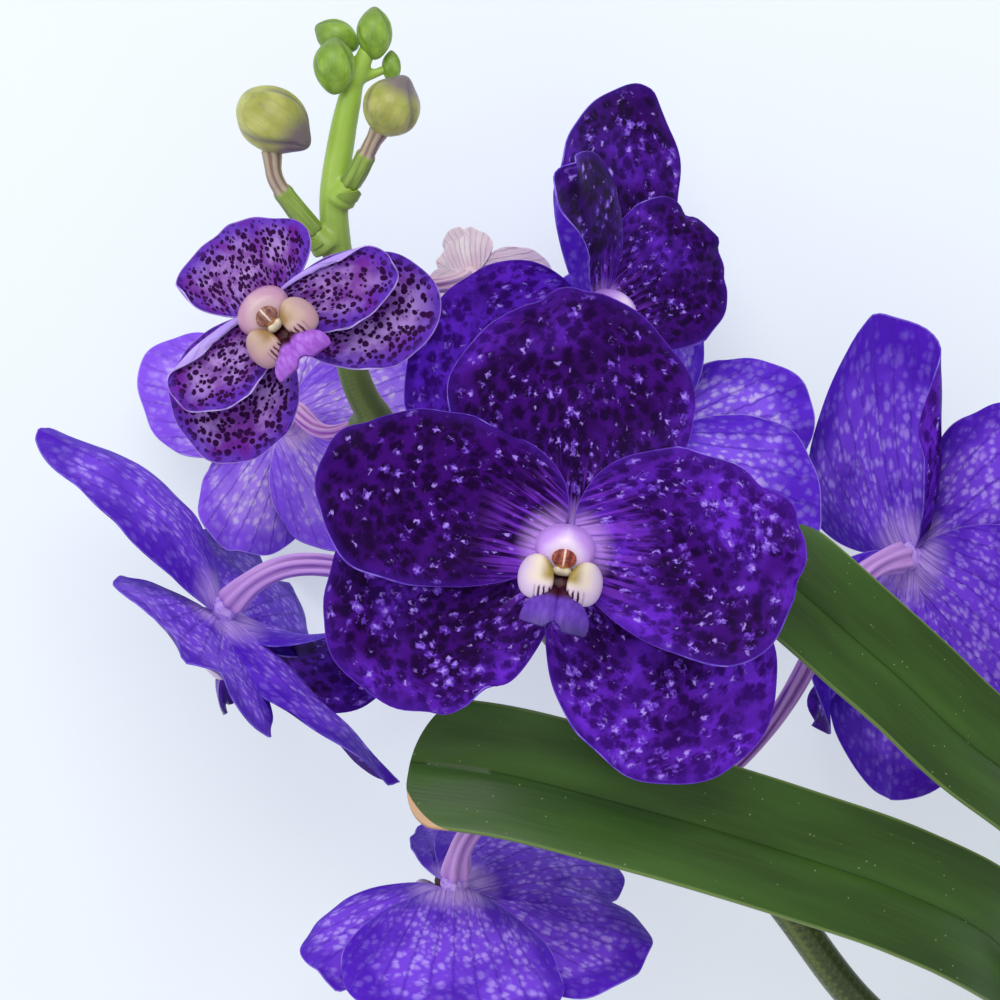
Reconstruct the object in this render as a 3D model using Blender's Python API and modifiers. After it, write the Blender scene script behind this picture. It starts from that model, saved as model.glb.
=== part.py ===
"""A flowering shoot of a vanda orchid, cut and laid down on a flat surface.

The shoot lies on the plane z = 0. A short stem with two ranks of strap leaves lies at +X. Its flower stalk
rises to the left, carries nine blooms on ribbed stalks round it, and ends in a cluster of buds. The largest
bloom faces +Z. Every number below is in millimetres or degrees, and MM turns millimetres into metres.
"""

import math

import bmesh
import bpy
from mathutils import Matrix, Vector

MM = 0.001
GAP = 0.35  # between two pieces that touch

# The middle of the shoot's outline, seen from above, in the frame that the places below are given in
MIDDLE = Vector((29.8, -22.3, 0.0))

PETAL_THICKNESS = 0.8
PETAL_ROWS = 5
PETAL_COLUMNS = 4

HUB_RADIUS = 4.5
HUB_BACK = 3.5
HUB_FRONT = 2.2
CLAW_START = 1.5  # from the bloom's axis to the root of a petal

STEM_RADIUS = 7.0
STEM_SIDES = 12
STEM_X = 130.0
STEM_TOP_Y = -68.0
STEM_CUT_Y = -170.0

LEAF_THICKNESS = 1.8
LEAF_ROWS = 12
LEAF_COLUMNS = 4

# One petal or sepal. Angles are in degrees. claw is the width of its root as a share of the whole, shoulder is
# how far along its widest place lies, and widen below 1 makes it wide sooner. skew moves the widest place of its
# right side towards the tip and that of its left side towards the root. pitch leans it forwards at its root and
# bend more towards its tip, cup lifts both sides, curl rolls a margin in, and lift moves the whole petal forwards.
PETAL = dict(
    angle=0, length=56, width=50, claw=0.17, shoulder=0.56, point=0, pitch=0, bend=0, cup=14,
    curl_left=0, curl_right=0, twist=0, sway=0, ripple=1.2, waves=3.0, phase=0, lift=0, widen=0.8, skew=0,
)
DORSAL = dict(PETAL, length=57, width=54, pitch=-5, bend=6, ripple=0.8, point=2.0)
SIDE = dict(PETAL, length=53, width=42, claw=0.15, pitch=5, bend=2, lift=1.6, ripple=1.6, waves=4.0, widen=0.6)
SIDE_LEFT = dict(SIDE, angle=-84, phase=40)
SIDE_RIGHT = dict(SIDE, angle=84, phase=140)
LOWER = dict(PETAL, length=57, width=50, pitch=-7, bend=4, ripple=1.4, point=1.5)
LOWER_LEFT = dict(LOWER, angle=-140, phase=70)
LOWER_RIGHT = dict(LOWER, angle=140, phase=200)
FIVE_PETALS = dict(
    dorsal=DORSAL, side_left=SIDE_LEFT, side_right=SIDE_RIGHT, lower_left=LOWER_LEFT, lower_right=LOWER_RIGHT
)


def bloom(centre, facing, up, size, root, side, reach=(0.42, 0.42), every=None, **changes):
    """A bloom's facts: its centre, the way it faces and the way its dorsal sepal points, its share of full
    size, where on the flower stalk its own stalk starts, from 0 at the foot to 1 at the tip, the side it leaves
    by, how far it keeps that way and its last one, and what differs in its petals, in every one or in a named one."""
    petals = {}
    for name, shape in FIVE_PETALS.items():
        petals[name] = {**shape, **(every or {}), **changes.get(name, {})}
    return dict(
        centre=centre, facing=facing, up=up, size=size, root=root, side=side, reach=reach, petals=petals
    )


BLOOMS = {
    "bloom_main": bloom(
        (0, 1.5, 108), (0, 0, 1), (0.17, 1, 0), 1.0, 0.44, (0.2, 0.1, 1),
        dorsal=dict(angle=-7, width=54, length=53.5),
        side_left=dict(angle=-79.5, length=55, width=40, skew=-0.15),
        side_right=dict(angle=84, length=51, width=46, skew=0.13),
        lower_left=dict(angle=-122, length=54, width=49),
        lower_right=dict(angle=131, length=59, width=48),
    ),
    "bloom_young": bloom(
        (-66, 53.6, 92), (-0.12, 0.05, 1), (-0.93, 1, 0), 0.6, 0.67, (-0.6, 0, 1),
        dorsal=dict(angle=15, length=34, width=56),
        side_left=dict(angle=-95, length=46, width=33, pitch=12),
        side_right=dict(angle=114, length=50, width=31),
        lower_left=dict(angle=-113, length=56, width=50),
        lower_right=dict(angle=130, length=62, width=46),
    ),
    "bloom_top": bloom(
        (7.8, 55.4, 58), (0.62, 0.1, 0.78), (0.25, 1, -0.2), 0.88, 0.53, (0.5, 0.8, -0.2), reach=(0.4, 0.35),
        dorsal=dict(angle=-3, length=64, width=43, sway=7, point=5),
        side_left=dict(angle=-60, length=52, width=33, pitch=36, bend=-8),
        side_right=dict(angle=45, length=45, width=41),
        lower_left=dict(angle=-136, length=60, width=54, skew=-0.15, pitch=-12),
        lower_right=dict(angle=152, length=46),
    ),
    "bloom_pale": bloom(
        (-21, 66.5, 33), (0.55, 0.25, -0.8), (0, 1, 0), 0.45, 0.72, (1, 0, -0.4), reach=(0.35, 0.35),
        every=dict(pitch=10, bend=20),
        dorsal=dict(angle=14, length=24, width=33),
        side_left=dict(angle=-106, length=44),
        side_right=dict(angle=66, length=30),
        lower_right=dict(angle=135, length=46),
    ),
    "bloom_left_upper": bloom(
        (-67, 30.5, 20.4), (-0.2, -0.4, -0.9), (-0.93, 0.35, 0), 0.65, 0.58, (-0.8, -0.1, -0.5),
        lower_right=dict(angle=145),
        side_right=dict(angle=88),
    ),
    "bloom_left_lower": bloom(
        (-80, -14.3, 55), (-0.665, -0.665, -0.33), (-0.7, 0.7, 0), 1.0, 0.47, (-1, 0.2, 0.2), reach=(0.42, 0.5),
        dorsal=dict(angle=0, length=58, width=38, pitch=-30, bend=62, point=4),
        lower_right=dict(angle=171, length=53, width=35, cup=30, twist=28, sway=6, point=4),
        lower_left=dict(angle=-140, length=50, width=36, twist=130),
        side_left=dict(angle=-92, pitch=-6, bend=25),
        side_right=dict(angle=97, width=50, pitch=-8, bend=-12),
    ),
    "bloom_right_upper": bloom(
        (19.5, 23.2, 22), (0.2, -0.1, -0.97), (-0.2, 1, 0), 0.83, 0.50, (0.7, 0.7, -0.4),
        lower_left=dict(angle=-124),
    ),
    "bloom_right_lower": bloom(
        (85.7, -1.6, 36.6), (0.72, 0.1, -0.69), (0, 1, 0), 1.0, 0.31, (0.65, 0.7, 0.2), reach=(0.5, 0.45),
        dorsal=dict(angle=17, length=49, width=60, shoulder=0.38, sway=-12, curl_left=-150, point=8),
        side_left=dict(angle=-62, width=46, length=50),
        lower_left=dict(angle=-122),
        lower_right=dict(angle=174),
        side_right=dict(angle=148, width=38, length=49, twist=150, pitch=-14),
    ),
    "bloom_bottom": bloom(
        (-25, -79, 55), (-0.1, -0.85, -0.5), (0, -0.5, 0.85), 0.95, 0.36, (-0.7, -0.6, 0.2),
        side_left=dict(angle=-40, length=44, width=40),
        side_right=dict(angle=72, length=50, width=46),
        lower_left=dict(angle=176, length=48, pitch=10, bend=20, width=26),
        lower_right=dict(pitch=5, bend=20),
    ),
}

# The flower stalk, from its foot at the stem to its tip: place and radius
STALK = [
    ((120.25, -152.5, 9), 4.2), ((110, -144, 15), 4.2), ((94, -129, 24), 4.2), ((72, -109, 36), 4.2),
    ((53, -84, 44), 4.1), ((31, -58, 50), 4.1), ((12, -35, 54), 4.0), ((-7, -12, 56), 4.0),
    ((-26, 11, 57), 3.9), ((-41, 28, 58), 3.8), ((-48, 40, 60), 3.7), ((-50.5, 54, 62), 3.6),
    ((-52, 68, 64), 3.5), ((-53, 82, 66), 3.4), ((-51, 96, 68), 3.2), ((-49, 105, 70), 2.8),
    ((-47, 112, 71), 1.6),
]
SEAT_LENGTH = 3.0  # of the short green seat on the flower stalk that a bloom's own stalk stands on
SEAT_RADIUS = 2.6
BLOOM_STALK_RADIUS = 2.0

# Buds: centre, radii, the way the tip points, and the knots of the stalk of the two large ones
BUDS = {
    "bud_left": dict(
        centre=(-66.5, 99.5, 75), radii=(6.8, 8.0, 6.8), tip=(0.8, -0.6, 0.1),
        stalk_knots=[(-57.5, 74.5, 67.5), (-62, 80, 70), (-66, 86, 72.5), (-66.8, 92.2, 74.2)],
    ),
    "bud_right": dict(
        centre=(-39.0, 102.0, 78), radii=(6.2, 6.2, 6.2), tip=(0.4, 0.8, 0.2),
        stalk_knots=[(-49, 85.5, 69.5), (-46.5, 89, 72), (-44, 93.5, 74.5), (-42, 96.8, 76)],
    ),
    "bud_top_left": dict(centre=(-52.3, 112, 75), radii=(4.8, 5.8, 4.6), tip=(0, 1, 0)),
    "bud_top_middle": dict(centre=(-52.2, 119.6, 68.6), radii=(3.9, 4.9, 4.0), tip=(-1, 0.5, 0)),
    "bud_top_right": dict(centre=(-43.2, 120, 72), radii=(4.1, 5.4, 4.1), tip=(0, 1, 0)),
    "bud_top_small": dict(centre=(-39.4, 112.6, 69), radii=(2.2, 3.4, 2.2), tip=(0, 1, 0)),
}

# Leaves: knots from the base to the tip, width, the way the face points at the base and further out, and how
# much of the length the tip's rounding takes
LEAVES = {
    "leaf_front": dict(
        knots=[
            (121.7, -138, 8), (121, -126, 14), (115, -108, 34), (101, -91, 58), (78, -78.5, 72), (54, -69.5, 80),
            (31, -62, 84), (8.4, -55.5, 86), (-14, -50, 86), (-34.5, -47.5, 84),
        ],
        width=31, base_face=(1, 0, 0), face=(0.1, 0.25, 1), tip=0.07,
    ),
    "leaf_back": dict(
        knots=[
            (121.7, -92, 8), (121.5, -81, 15), (119, -68, 42), (109, -56, 66), (92, -43, 78), (78, -30, 83),
            (66, -19.5, 85), (54, -9, 86), (41, 2, 84),
        ],
        width=27, base_face=(1, 0, 0), face=(0.2, 0.2, 1), tip=0.1,
    ),
    "leaf_right_lower": dict(
        knots=[(138.3, -132, 8), (142, -119, 18), (150, -103, 29), (164, -89, 34), (183, -81, 28)],
        width=27, base_face=(-1, 0, 0), face=(-0.1, 0.2, 1), tip=0.18,
    ),
    "leaf_right_upper": dict(
        knots=[(138.3, -90, 8), (142, -77, 18), (149, -60, 30), (160, -45, 36), (174, -35, 33)],
        width=26, base_face=(-1, 0, 0), face=(-0.1, 0.2, 1), tip=0.18,
    ),
}


def at(point):
    """A place of the lists above in metres, in the shoot's own frame."""
    return (Vector(point) - MIDDLE) * MM


def smooth(value):
    value = min(max(value, 0.0), 1.0)
    return value * value * (3 - 2 * value)


def side_section(shape, half, across):
    """Place across and height of a point on the cupped and curled cross-section of a petal."""
    steps = 6
    x = z = 0.0
    curl = shape["curl_right"] if across > 0 else shape["curl_left"]
    for step in range(steps):
        part = abs(across) * (step + 0.5) / steps
        slope = math.radians(shape["cup"] * part + curl * smooth((part - 0.45) / 0.55))
        x += math.cos(slope) * abs(across) / steps
        z += math.sin(slope) * abs(across) / steps
    return math.copysign(x, across) * half, z * half


def petal_point(shape, along, across):
    """A point of a petal in its own frame: along runs from 0 at the claw to 1 at the tip, and across from -1
    to 1. +Y is towards the tip and +Z out of the face. The outline is a claw that widens to a half ellipse."""
    side = math.sin(across * math.pi / 2)
    grown = math.sin(math.pi / 2 * along ** (shape["widen"] * (1 + 1.5 * shape["skew"] * side)))
    half = 0.5 * shape["width"] * (shape["claw"] + (1 - shape["claw"]) * grown)
    shoulder = shape["shoulder"] + shape["skew"] * side
    reach = shoulder * along + (1 - shoulder) * along**1.5 * math.cos(across * math.pi / 2)
    x, z = side_section(shape, half, side)
    margin = along * (across**2 + (1 - across**2) * along**3)
    turn = math.atan2(side, 1.3 - along)
    z += shape["ripple"] * math.sin(shape["waves"] * turn + math.radians(shape["phase"])) * margin**2
    x += shape["sway"] * reach**2
    twist = math.radians(shape["twist"]) * reach
    x, z = x * math.cos(twist) - z * math.sin(twist), x * math.sin(twist) + z * math.cos(twist)
    slope = math.radians(shape["pitch"])
    bend = math.radians(shape["bend"]) + 1e-6
    end = slope + bend * reach
    tip = shape["point"] * along**6 * math.exp(-12 * across**2)
    y = shape["length"] * (math.sin(end) - math.sin(slope)) / bend + tip
    height = -shape["length"] * (math.cos(end) - math.cos(slope)) / bend
    return Vector((x, y - z * math.sin(end), height + z * math.cos(end)))


def material(name, colour, roughness):
    made = bpy.data.materials.get(name)
    if made:
        return made
    made = bpy.data.materials.new(name)
    made.use_nodes = True
    shader = made.node_tree.nodes["Principled BSDF"]
    shader.inputs["Base Color"].default_value = (*colour, 1)
    shader.inputs["Roughness"].default_value = roughness
    shader.inputs["Metallic"].default_value = 0.0
    return made


def paint(obj, name, colour, roughness=0.5):
    obj.data.materials.clear()
    obj.data.materials.append(material(name, colour, roughness))
    return obj


def link(name, data, collection=None):
    obj = bpy.data.objects.new(name, data)
    (collection or SHOOT).objects.link(obj)
    return obj


def mesh_from(obj):
    """The object's evaluated mesh, on its own. A curve's caps are welded to its sides."""
    mesh = bpy.data.meshes.new_from_object(obj.evaluated_get(bpy.context.evaluated_depsgraph_get()))
    shape = bmesh.new()
    shape.from_mesh(mesh)
    bmesh.ops.remove_doubles(shape, verts=shape.verts, dist=0.01 * MM)
    shape.to_mesh(mesh)
    shape.free()
    return mesh


def fuse(name, pieces):
    """Joins the pieces into one closed body and leaves that body alone in the scene."""
    bpy.context.view_layer.update()
    others = bpy.data.collections.new(name + "_pieces")
    for piece in pieces[1:]:
        others.objects.link(piece)
    union = pieces[0].modifiers.new("Fuse", "BOOLEAN")
    union.operation = "UNION"
    union.operand_type = "COLLECTION"
    union.collection = others
    union.solver = "EXACT"
    bpy.context.view_layer.update()
    mesh = mesh_from(pieces[0])
    mesh.transform(pieces[0].matrix_world)
    for piece in pieces:
        bpy.data.objects.remove(piece)
    bpy.data.collections.remove(others)
    mesh.name = name
    return link(name, mesh)


def solid_sheet(name, rows, columns, thickness, place):
    """A thin closed blade: a grid whose points place(along, across) moves, in triangles and thickened."""
    shape = bmesh.new()
    bmesh.ops.create_grid(shape, x_segments=columns, y_segments=rows, size=1)
    for vertex in shape.verts:
        vertex.co = place((vertex.co.y + 1) / 2, vertex.co.x) * MM
    bmesh.ops.triangulate(shape, faces=shape.faces)
    mesh = bpy.data.meshes.new(name)
    shape.to_mesh(mesh)
    shape.free()
    obj = link(name, mesh)
    shell = obj.modifiers.new("Thickness", "SOLIDIFY")
    shell.thickness = thickness * MM
    shell.offset = 0
    bpy.context.view_layer.update()
    solid = mesh_from(obj)
    bpy.data.objects.remove(obj)
    return link(name, solid)


def ball(name, radii, centre, segments=10, rings=6, turned=None):
    """A ball stretched to three radii, in the frame of what it belongs to."""
    shape = bmesh.new()
    bmesh.ops.create_uvsphere(shape, u_segments=segments, v_segments=rings, radius=1)
    stretch = Matrix.Diagonal((*(radius * MM for radius in radii), 1))
    place = Matrix.Translation(Vector(centre) * MM)
    bmesh.ops.transform(shape, matrix=place @ (turned or Matrix()) @ stretch, verts=shape.verts)
    mesh = bpy.data.meshes.new(name)
    shape.to_mesh(mesh)
    shape.free()
    return link(name, mesh)


def cone(name, start, end, radius_start, radius_end, sides=8, flatten=1.0, roll=0.0):
    """A cone or rod between two points in metres. flatten squeezes its cross-section along one side."""
    shape = bmesh.new()
    axis = Vector(end) - Vector(start)
    bmesh.ops.create_cone(
        shape, cap_ends=True, segments=sides,
        radius1=radius_start * MM, radius2=radius_end * MM, depth=axis.length,
    )
    bmesh.ops.scale(shape, vec=(1, flatten, 1), verts=shape.verts)
    turn = axis.to_track_quat("Z", "Y").to_matrix().to_4x4() @ Matrix.Rotation(math.radians(roll), 4, "Z")
    middle = Matrix.Translation((Vector(start) + Vector(end)) / 2)
    bmesh.ops.transform(shape, matrix=middle @ turn, verts=shape.verts)
    mesh = bpy.data.meshes.new(name)
    shape.to_mesh(mesh)
    shape.free()
    return link(name, mesh)


def tube(name, points, radii, resolution=1):
    """A round stalk along points in metres, as a curve with filled ends."""
    line = bpy.data.curves.new(name, "CURVE")
    line.dimensions = "3D"
    line.bevel_depth = MM
    line.bevel_resolution = resolution
    line.use_fill_caps = True
    spline = line.splines.new("POLY")
    spline.points.add(len(points) - 1)
    for target, point, radius in zip(spline.points, points, radii):
        target.co = (*point, 1)
        target.radius = radius
    return link(name, line)


def arc(start, start_way, end, end_way, count):
    """Points on a smooth curve that leaves start along start_way and comes to end along end_way."""
    one = start + start_way
    two = end - end_way
    points = []
    for step in range(count):
        t = step / (count - 1)
        near = start * (1 - t) + one * 3 * t
        far = two * 3 * (1 - t) + end * t
        points.append(near * (1 - t) ** 2 + far * t**2)
    return points


def on_curve(knots, share):
    """Point and direction at a share of the way along a smooth curve through knots."""
    count = len(knots) - 1
    place = min(max(share, 0.0), 1.0) * count
    index = min(int(place), count - 1)
    t = place - index
    p1, p2 = knots[index], knots[index + 1]
    p0 = knots[index - 1] if index else p1 * 2 - p2
    p3 = knots[index + 2] if index + 2 <= count else p2 * 2 - p1
    one = p2 - p0
    two = 2 * p0 - 5 * p1 + 4 * p2 - p3
    three = 3 * p1 - p0 - 3 * p2 + p3
    point = p1 + 0.5 * (one * t + two * t**2 + three * t**3)
    way = one + 2 * two * t + 3 * three * t**2
    return point, way.normalized()


STALK_KNOTS = [Vector(point) for point, _ in STALK]


def stalk_seat(share, side):
    """Foot on the flower stalk's axis, top and direction of a seat at a share of the stalk's length."""
    point, way = on_curve(STALK_KNOTS, share)
    out = Vector(side)
    out = (out - way * out.dot(way) * 0.8).normalized()
    radius = STALK[round(share * (len(STALK) - 1))][1]
    return point, point + out * (radius + SEAT_LENGTH), out


def bloom_frame(facts):
    """Matrix from a bloom's own frame, face towards +Z and dorsal sepal towards +Y, to the shoot's frame."""
    facing = Vector(facts["facing"]).normalized()
    up = Vector(facts["up"])
    up = (up - facing * up.dot(facing)).normalized()
    turn = Matrix((up.cross(facing), up, facing)).transposed().to_4x4()
    return Matrix.Translation(at(facts["centre"])) @ turn


def petal_frame(shape, size):
    angle = math.radians(shape["angle"])
    out = Vector((math.sin(angle), math.cos(angle), 0))
    root = out * CLAW_START * size + Vector((0, 0, shape["lift"] * size))
    return Matrix.Translation(root) @ Matrix.Rotation(-angle, 4, "Z")


def heart_scale(facts):
    """A young bloom's heart is nearly as large as a full-grown one's, though its petals are small."""
    return Matrix.Scale(min(1.0, 0.25 + 1.2 * facts["size"]), 4)


def make_petals(name, facts):
    """The five petals and sepals of a bloom, grown together round a small hub."""
    size = facts["size"]
    back, front = Vector((0, 0, -HUB_BACK * MM)), Vector((0, 0, HUB_FRONT * MM))
    hub = cone(name + "_hub", back, front, 0.75 * HUB_RADIUS, HUB_RADIUS, sides=10)
    hub.data.transform(hub.matrix_world)
    hub.data.transform(heart_scale(facts))
    pieces = [hub]
    for part, shape in facts["petals"].items():
        frame = petal_frame(shape, size)
        blade = solid_sheet(
            f"{name}_{part}", PETAL_ROWS, PETAL_COLUMNS, PETAL_THICKNESS,
            lambda along, across: frame @ (petal_point(shape, along, across) * size),
        )
        pieces.append(blade)
    return paint(fuse(name + "_petals", pieces), "petal violet", (0.10, 0.015, 0.42), 0.45)


COLUMN_RADII = (6.0, 4.6, 4.5)
COLUMN_PLACE = (0, -0.2, HUB_FRONT + GAP + 4.5)
LIP_PLACE = (0, -7.6, HUB_FRONT + 3.0)


def make_column(name, facts):
    """The stubby column at the bloom's heart."""
    column = ball(name + "_column", COLUMN_RADII, COLUMN_PLACE, segments=10, rings=6)
    column.data.transform(heart_scale(facts))
    return paint(column, "column blush", (0.75, 0.55, 0.75), 0.4)


def make_lip(name, facts):
    """The lip below the column: two round side lobes, a drooping tongue and the base that joins them."""
    x, y, z = LIP_PLACE
    lobes = []
    for side in (-1, 1):
        turned = Matrix.Rotation(math.radians(side * 35), 4, "Y")
        lobes.append(ball(f"{name}_lobe_{side}", (4.2, 4.6, 2.0), (side * 5.4, y + 1.4, z + 4.6), 7, 4, turned))
    base = ball(name + "_lip_base", (4.2, 2.2, 3.2), (x, y - 0.3, z + 1.6), 7, 4)
    droop = Matrix.Rotation(math.radians(28), 4, "X")
    tongue = ball(name + "_tongue", (6.0, 2.2, 6.6), (x, y - 3.6, z + 7.4), 8, 5, droop)
    lip = fuse(name + "_lip", [base, tongue, *lobes])
    lip.data.transform(heart_scale(facts))
    return paint(lip, "lip cream", (0.62, 0.50, 0.55), 0.4)


def make_bloom_stalk(name, facts):
    """A bloom's own stalk, from its seat on the flower stalk to the back of the hub, thicker at the ovary."""
    _, top, out = stalk_seat(facts["root"], facts["side"])
    frame = bloom_frame(facts)
    facing = frame.to_3x3() @ Vector((0, 0, 1))
    start = at(top) + out * GAP * MM
    end = frame @ (heart_scale(facts) @ Vector((0, 0, -HUB_BACK * MM)) - Vector((0, 0, GAP * MM)))
    length = (end - start).length
    first_way, last_way = out * facts["reach"][0] * length, facing * facts["reach"][1] * length
    inner = arc(start + out * MM, first_way, end - facing * MM, last_way, 8)
    points = [start, *inner, end]
    thick = BLOOM_STALK_RADIUS * (0.5 + 0.5 * facts["size"])
    radii = [thick * (1 + 0.35 * smooth(step / (len(points) - 1))) for step in range(len(points))]
    return paint(tube(name + "_stalk", points, radii), "stalk pink", (0.62, 0.30, 0.55), 0.45)


def leaf_point(facts, along, across):
    """A point of a strap leaf: narrow and flat where it joins the stem, then wider and a V in section, with a
    round tip."""
    knots = [Vector(knot) for knot in facts["knots"]]
    tip = facts["tip"]
    side = math.sin(across * math.pi / 2)
    share = (1 - tip) * along + tip * along**3 * math.cos(across * math.pi / 2)
    centre, way = on_curve(knots, share)
    spread = smooth((share - 0.08) / 0.3)
    face = Vector(facts["base_face"]).lerp(Vector(facts["face"]), spread)
    face = (face - way * face.dot(way)).normalized()
    fold = math.radians(14) * spread
    half = facts["width"] / 2 * (0.4 + 0.6 * spread)
    return (
        centre - MIDDLE + way.cross(face) * side * half * math.cos(fold)
        + face * abs(side) * half * math.sin(fold)
    )


def make_leaves():
    for name, facts in LEAVES.items():
        place = lambda along, across: leaf_point(facts, along, across)
        blade = solid_sheet(name, LEAF_ROWS, LEAF_COLUMNS, LEAF_THICKNESS, place)
        paint(blade, "leaf green", (0.03, 0.12, 0.02), 0.4)


def make_stem():
    """The short cut stem. One of its flats lies on the floor."""
    centre_z = STEM_RADIUS * math.cos(math.pi / STEM_SIDES)
    stem = cone(
        "stem", at((STEM_X, STEM_CUT_Y, centre_z)), at((STEM_X, STEM_TOP_Y, centre_z)),
        STEM_RADIUS, STEM_RADIUS, STEM_SIDES, roll=180 / STEM_SIDES,
    )
    paint(stem, "stem green", (0.20, 0.30, 0.08), 0.5)


def bud_turn(facts):
    return Vector(facts["tip"]).to_track_quat("Y", "Z").to_matrix()


def make_flower_stalk():
    """The flower stalk, with a short seat for each bloom's own stalk and for each bud."""
    core = tube("stalk_core", [at(point) for point, _ in STALK], [radius for _, radius in STALK], 1)
    bpy.context.view_layer.update()
    solid = link("stalk_solid", mesh_from(core))
    bpy.data.objects.remove(core)
    seats = []
    for name, facts in BLOOMS.items():
        foot, top, _ = stalk_seat(facts["root"], facts["side"])
        seats.append(cone(name + "_seat", at(foot), at(top), SEAT_RADIUS * 1.25, SEAT_RADIUS, 7))
    for name, facts in BUDS.items():
        if "stalk_knots" in facts:
            top, second = (Vector(knot) for knot in facts["stalk_knots"][:2])
            foot = top - (second - top).normalized() * 5
            seats.append(cone(name + "_seat", at(foot), at(top), SEAT_RADIUS * 1.1, SEAT_RADIUS * 0.9, 7))
        else:
            foot, _ = on_curve(STALK_KNOTS, 0.97)
            centre = Vector(facts["centre"])
            way = (centre - foot).normalized()
            inward = bud_turn(facts).inverted() @ way
            depth = 1 / Vector(inward[axis] / facts["radii"][axis] for axis in range(3)).length
            top = centre - way * (depth + 2 * GAP)
            seats.append(cone(name + "_seat", at(foot), at(top), 1.4, 1.2, 6))
    paint(fuse("flower_stalk", [solid, *seats]), "stalk green", (0.22, 0.42, 0.06), 0.4)


def make_buds():
    for name, facts in BUDS.items():
        turn = bud_turn(facts).to_4x4()
        bud = ball(name, facts["radii"], (0, 0, 0), 10, 6)
        bud.matrix_world = Matrix.Translation(at(facts["centre"])) @ turn
        paint(bud, "bud green", (0.45, 0.50, 0.12), 0.4)
        if "stalk_knots" in facts:
            knots = [Vector(knot) for knot in facts["stalk_knots"]]
            out = (knots[1] - knots[0]).normalized()
            knots[0] = knots[0] + out * GAP
            points = [on_curve(knots, step / 6)[0] for step in range(7)]
            stalk = tube(name + "_stalk", [at(point) for point in points], [2.1, 2.0, 1.9, 1.8, 1.8, 2.0, 2.3])
            paint(stalk, "stalk pink", (0.62, 0.30, 0.55), 0.45)


def clear_scene():
    for obj in list(bpy.data.objects):
        bpy.data.objects.remove(obj)


clear_scene()
SHOOT = bpy.data.collections.new("vanda_orchid")
bpy.context.scene.collection.children.link(SHOOT)

make_stem()
make_flower_stalk()
make_leaves()
make_buds()
for bloom_name, bloom_facts in BLOOMS.items():
    for make in (make_petals, make_column, make_lip):
        make(bloom_name, bloom_facts).matrix_world = bloom_frame(bloom_facts)
    make_bloom_stalk(bloom_name, bloom_facts)
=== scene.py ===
# %% [markdown]
# # A vanda orchid, cut and laid down
#
# This lesson dresses the plain solids of a flowering orchid shoot. The shoot lies on a table: a green
# flower stalk carries nine blooms and six buds, and strap leaves grow from a short stem. The largest bloom
# looks straight up, at the camera. We load the solids as a fixed frame first and keep their box, because
# the finished plant has to stay the same size. Everything that the loader leaves selected is deselected,
# since an operator acts on all of it.

# %% Load the frame
import math

import bpy
import numpy as np
from mathutils import Matrix, Vector, noise
from mathutils.kdtree import KDTree


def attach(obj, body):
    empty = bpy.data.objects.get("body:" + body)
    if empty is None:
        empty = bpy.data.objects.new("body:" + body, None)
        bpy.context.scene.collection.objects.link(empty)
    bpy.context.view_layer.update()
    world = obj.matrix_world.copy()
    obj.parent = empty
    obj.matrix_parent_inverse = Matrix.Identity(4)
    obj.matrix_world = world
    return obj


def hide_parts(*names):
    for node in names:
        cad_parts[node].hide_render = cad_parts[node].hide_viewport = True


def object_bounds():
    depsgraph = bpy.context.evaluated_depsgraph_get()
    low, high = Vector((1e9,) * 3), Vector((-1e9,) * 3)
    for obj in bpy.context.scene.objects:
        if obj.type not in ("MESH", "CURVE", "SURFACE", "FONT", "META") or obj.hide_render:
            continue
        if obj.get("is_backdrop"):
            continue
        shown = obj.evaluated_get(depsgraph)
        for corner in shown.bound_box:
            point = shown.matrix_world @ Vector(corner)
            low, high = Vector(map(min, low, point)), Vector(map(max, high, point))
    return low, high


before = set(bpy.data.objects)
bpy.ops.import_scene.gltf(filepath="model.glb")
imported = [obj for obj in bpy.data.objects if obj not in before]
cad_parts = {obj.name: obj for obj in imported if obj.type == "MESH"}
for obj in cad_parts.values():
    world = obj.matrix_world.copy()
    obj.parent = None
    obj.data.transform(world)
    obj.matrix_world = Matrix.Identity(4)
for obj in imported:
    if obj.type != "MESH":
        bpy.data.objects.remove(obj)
CAD_BOX = [list(corner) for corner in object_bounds()]
bpy.ops.object.select_all(action="DESELECT")
print("nodes in the frame:", len(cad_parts))
print("size of the frame in mm:", [round((high - low) * 1000, 1) for low, high in zip(*CAD_BOX)])

# %% [markdown]
# ## Units and the plant's own frame
#
# Plants are easiest to describe in millimetres, and Blender works in metres. The places below were laid out
# with the large bloom near zero, so one shift takes them to the frame of the solids.

# %% Units
MM = 0.001
MIDDLE = Vector((29.8, -22.3, 0.0))  # the frame's origin, in the plant's own mm
GAP = 0.35  # between two pieces that touch, in mm


def at(point):
    """A place in the plant's own millimetres, in metres in the frame."""
    return (Vector(point) - MIDDLE) * MM


def smooth(value):
    value = np.clip(value, 0.0, 1.0)
    return value * value * (3 - 2 * value)


print("the large bloom's heart is at", [round(x, 4) for x in at((0, 1.5, 108))])

# %% [markdown]
# ## Camera, light and table
#
# The plant is seen from straight above, so the camera hangs over it and looks down with no turn at all. A
# long lens keeps the petals' proportions calm. The light is that of a bright room: a pale sky all round,
# one large soft lamp from the top of the picture and a weaker one from the left, so that petals keep some
# shape without hard shadows. The table is a plain pale sheet with a slight tint. It glows faintly, which
# keeps the shadows on it weak, and it isn't part of the plant.

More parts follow.
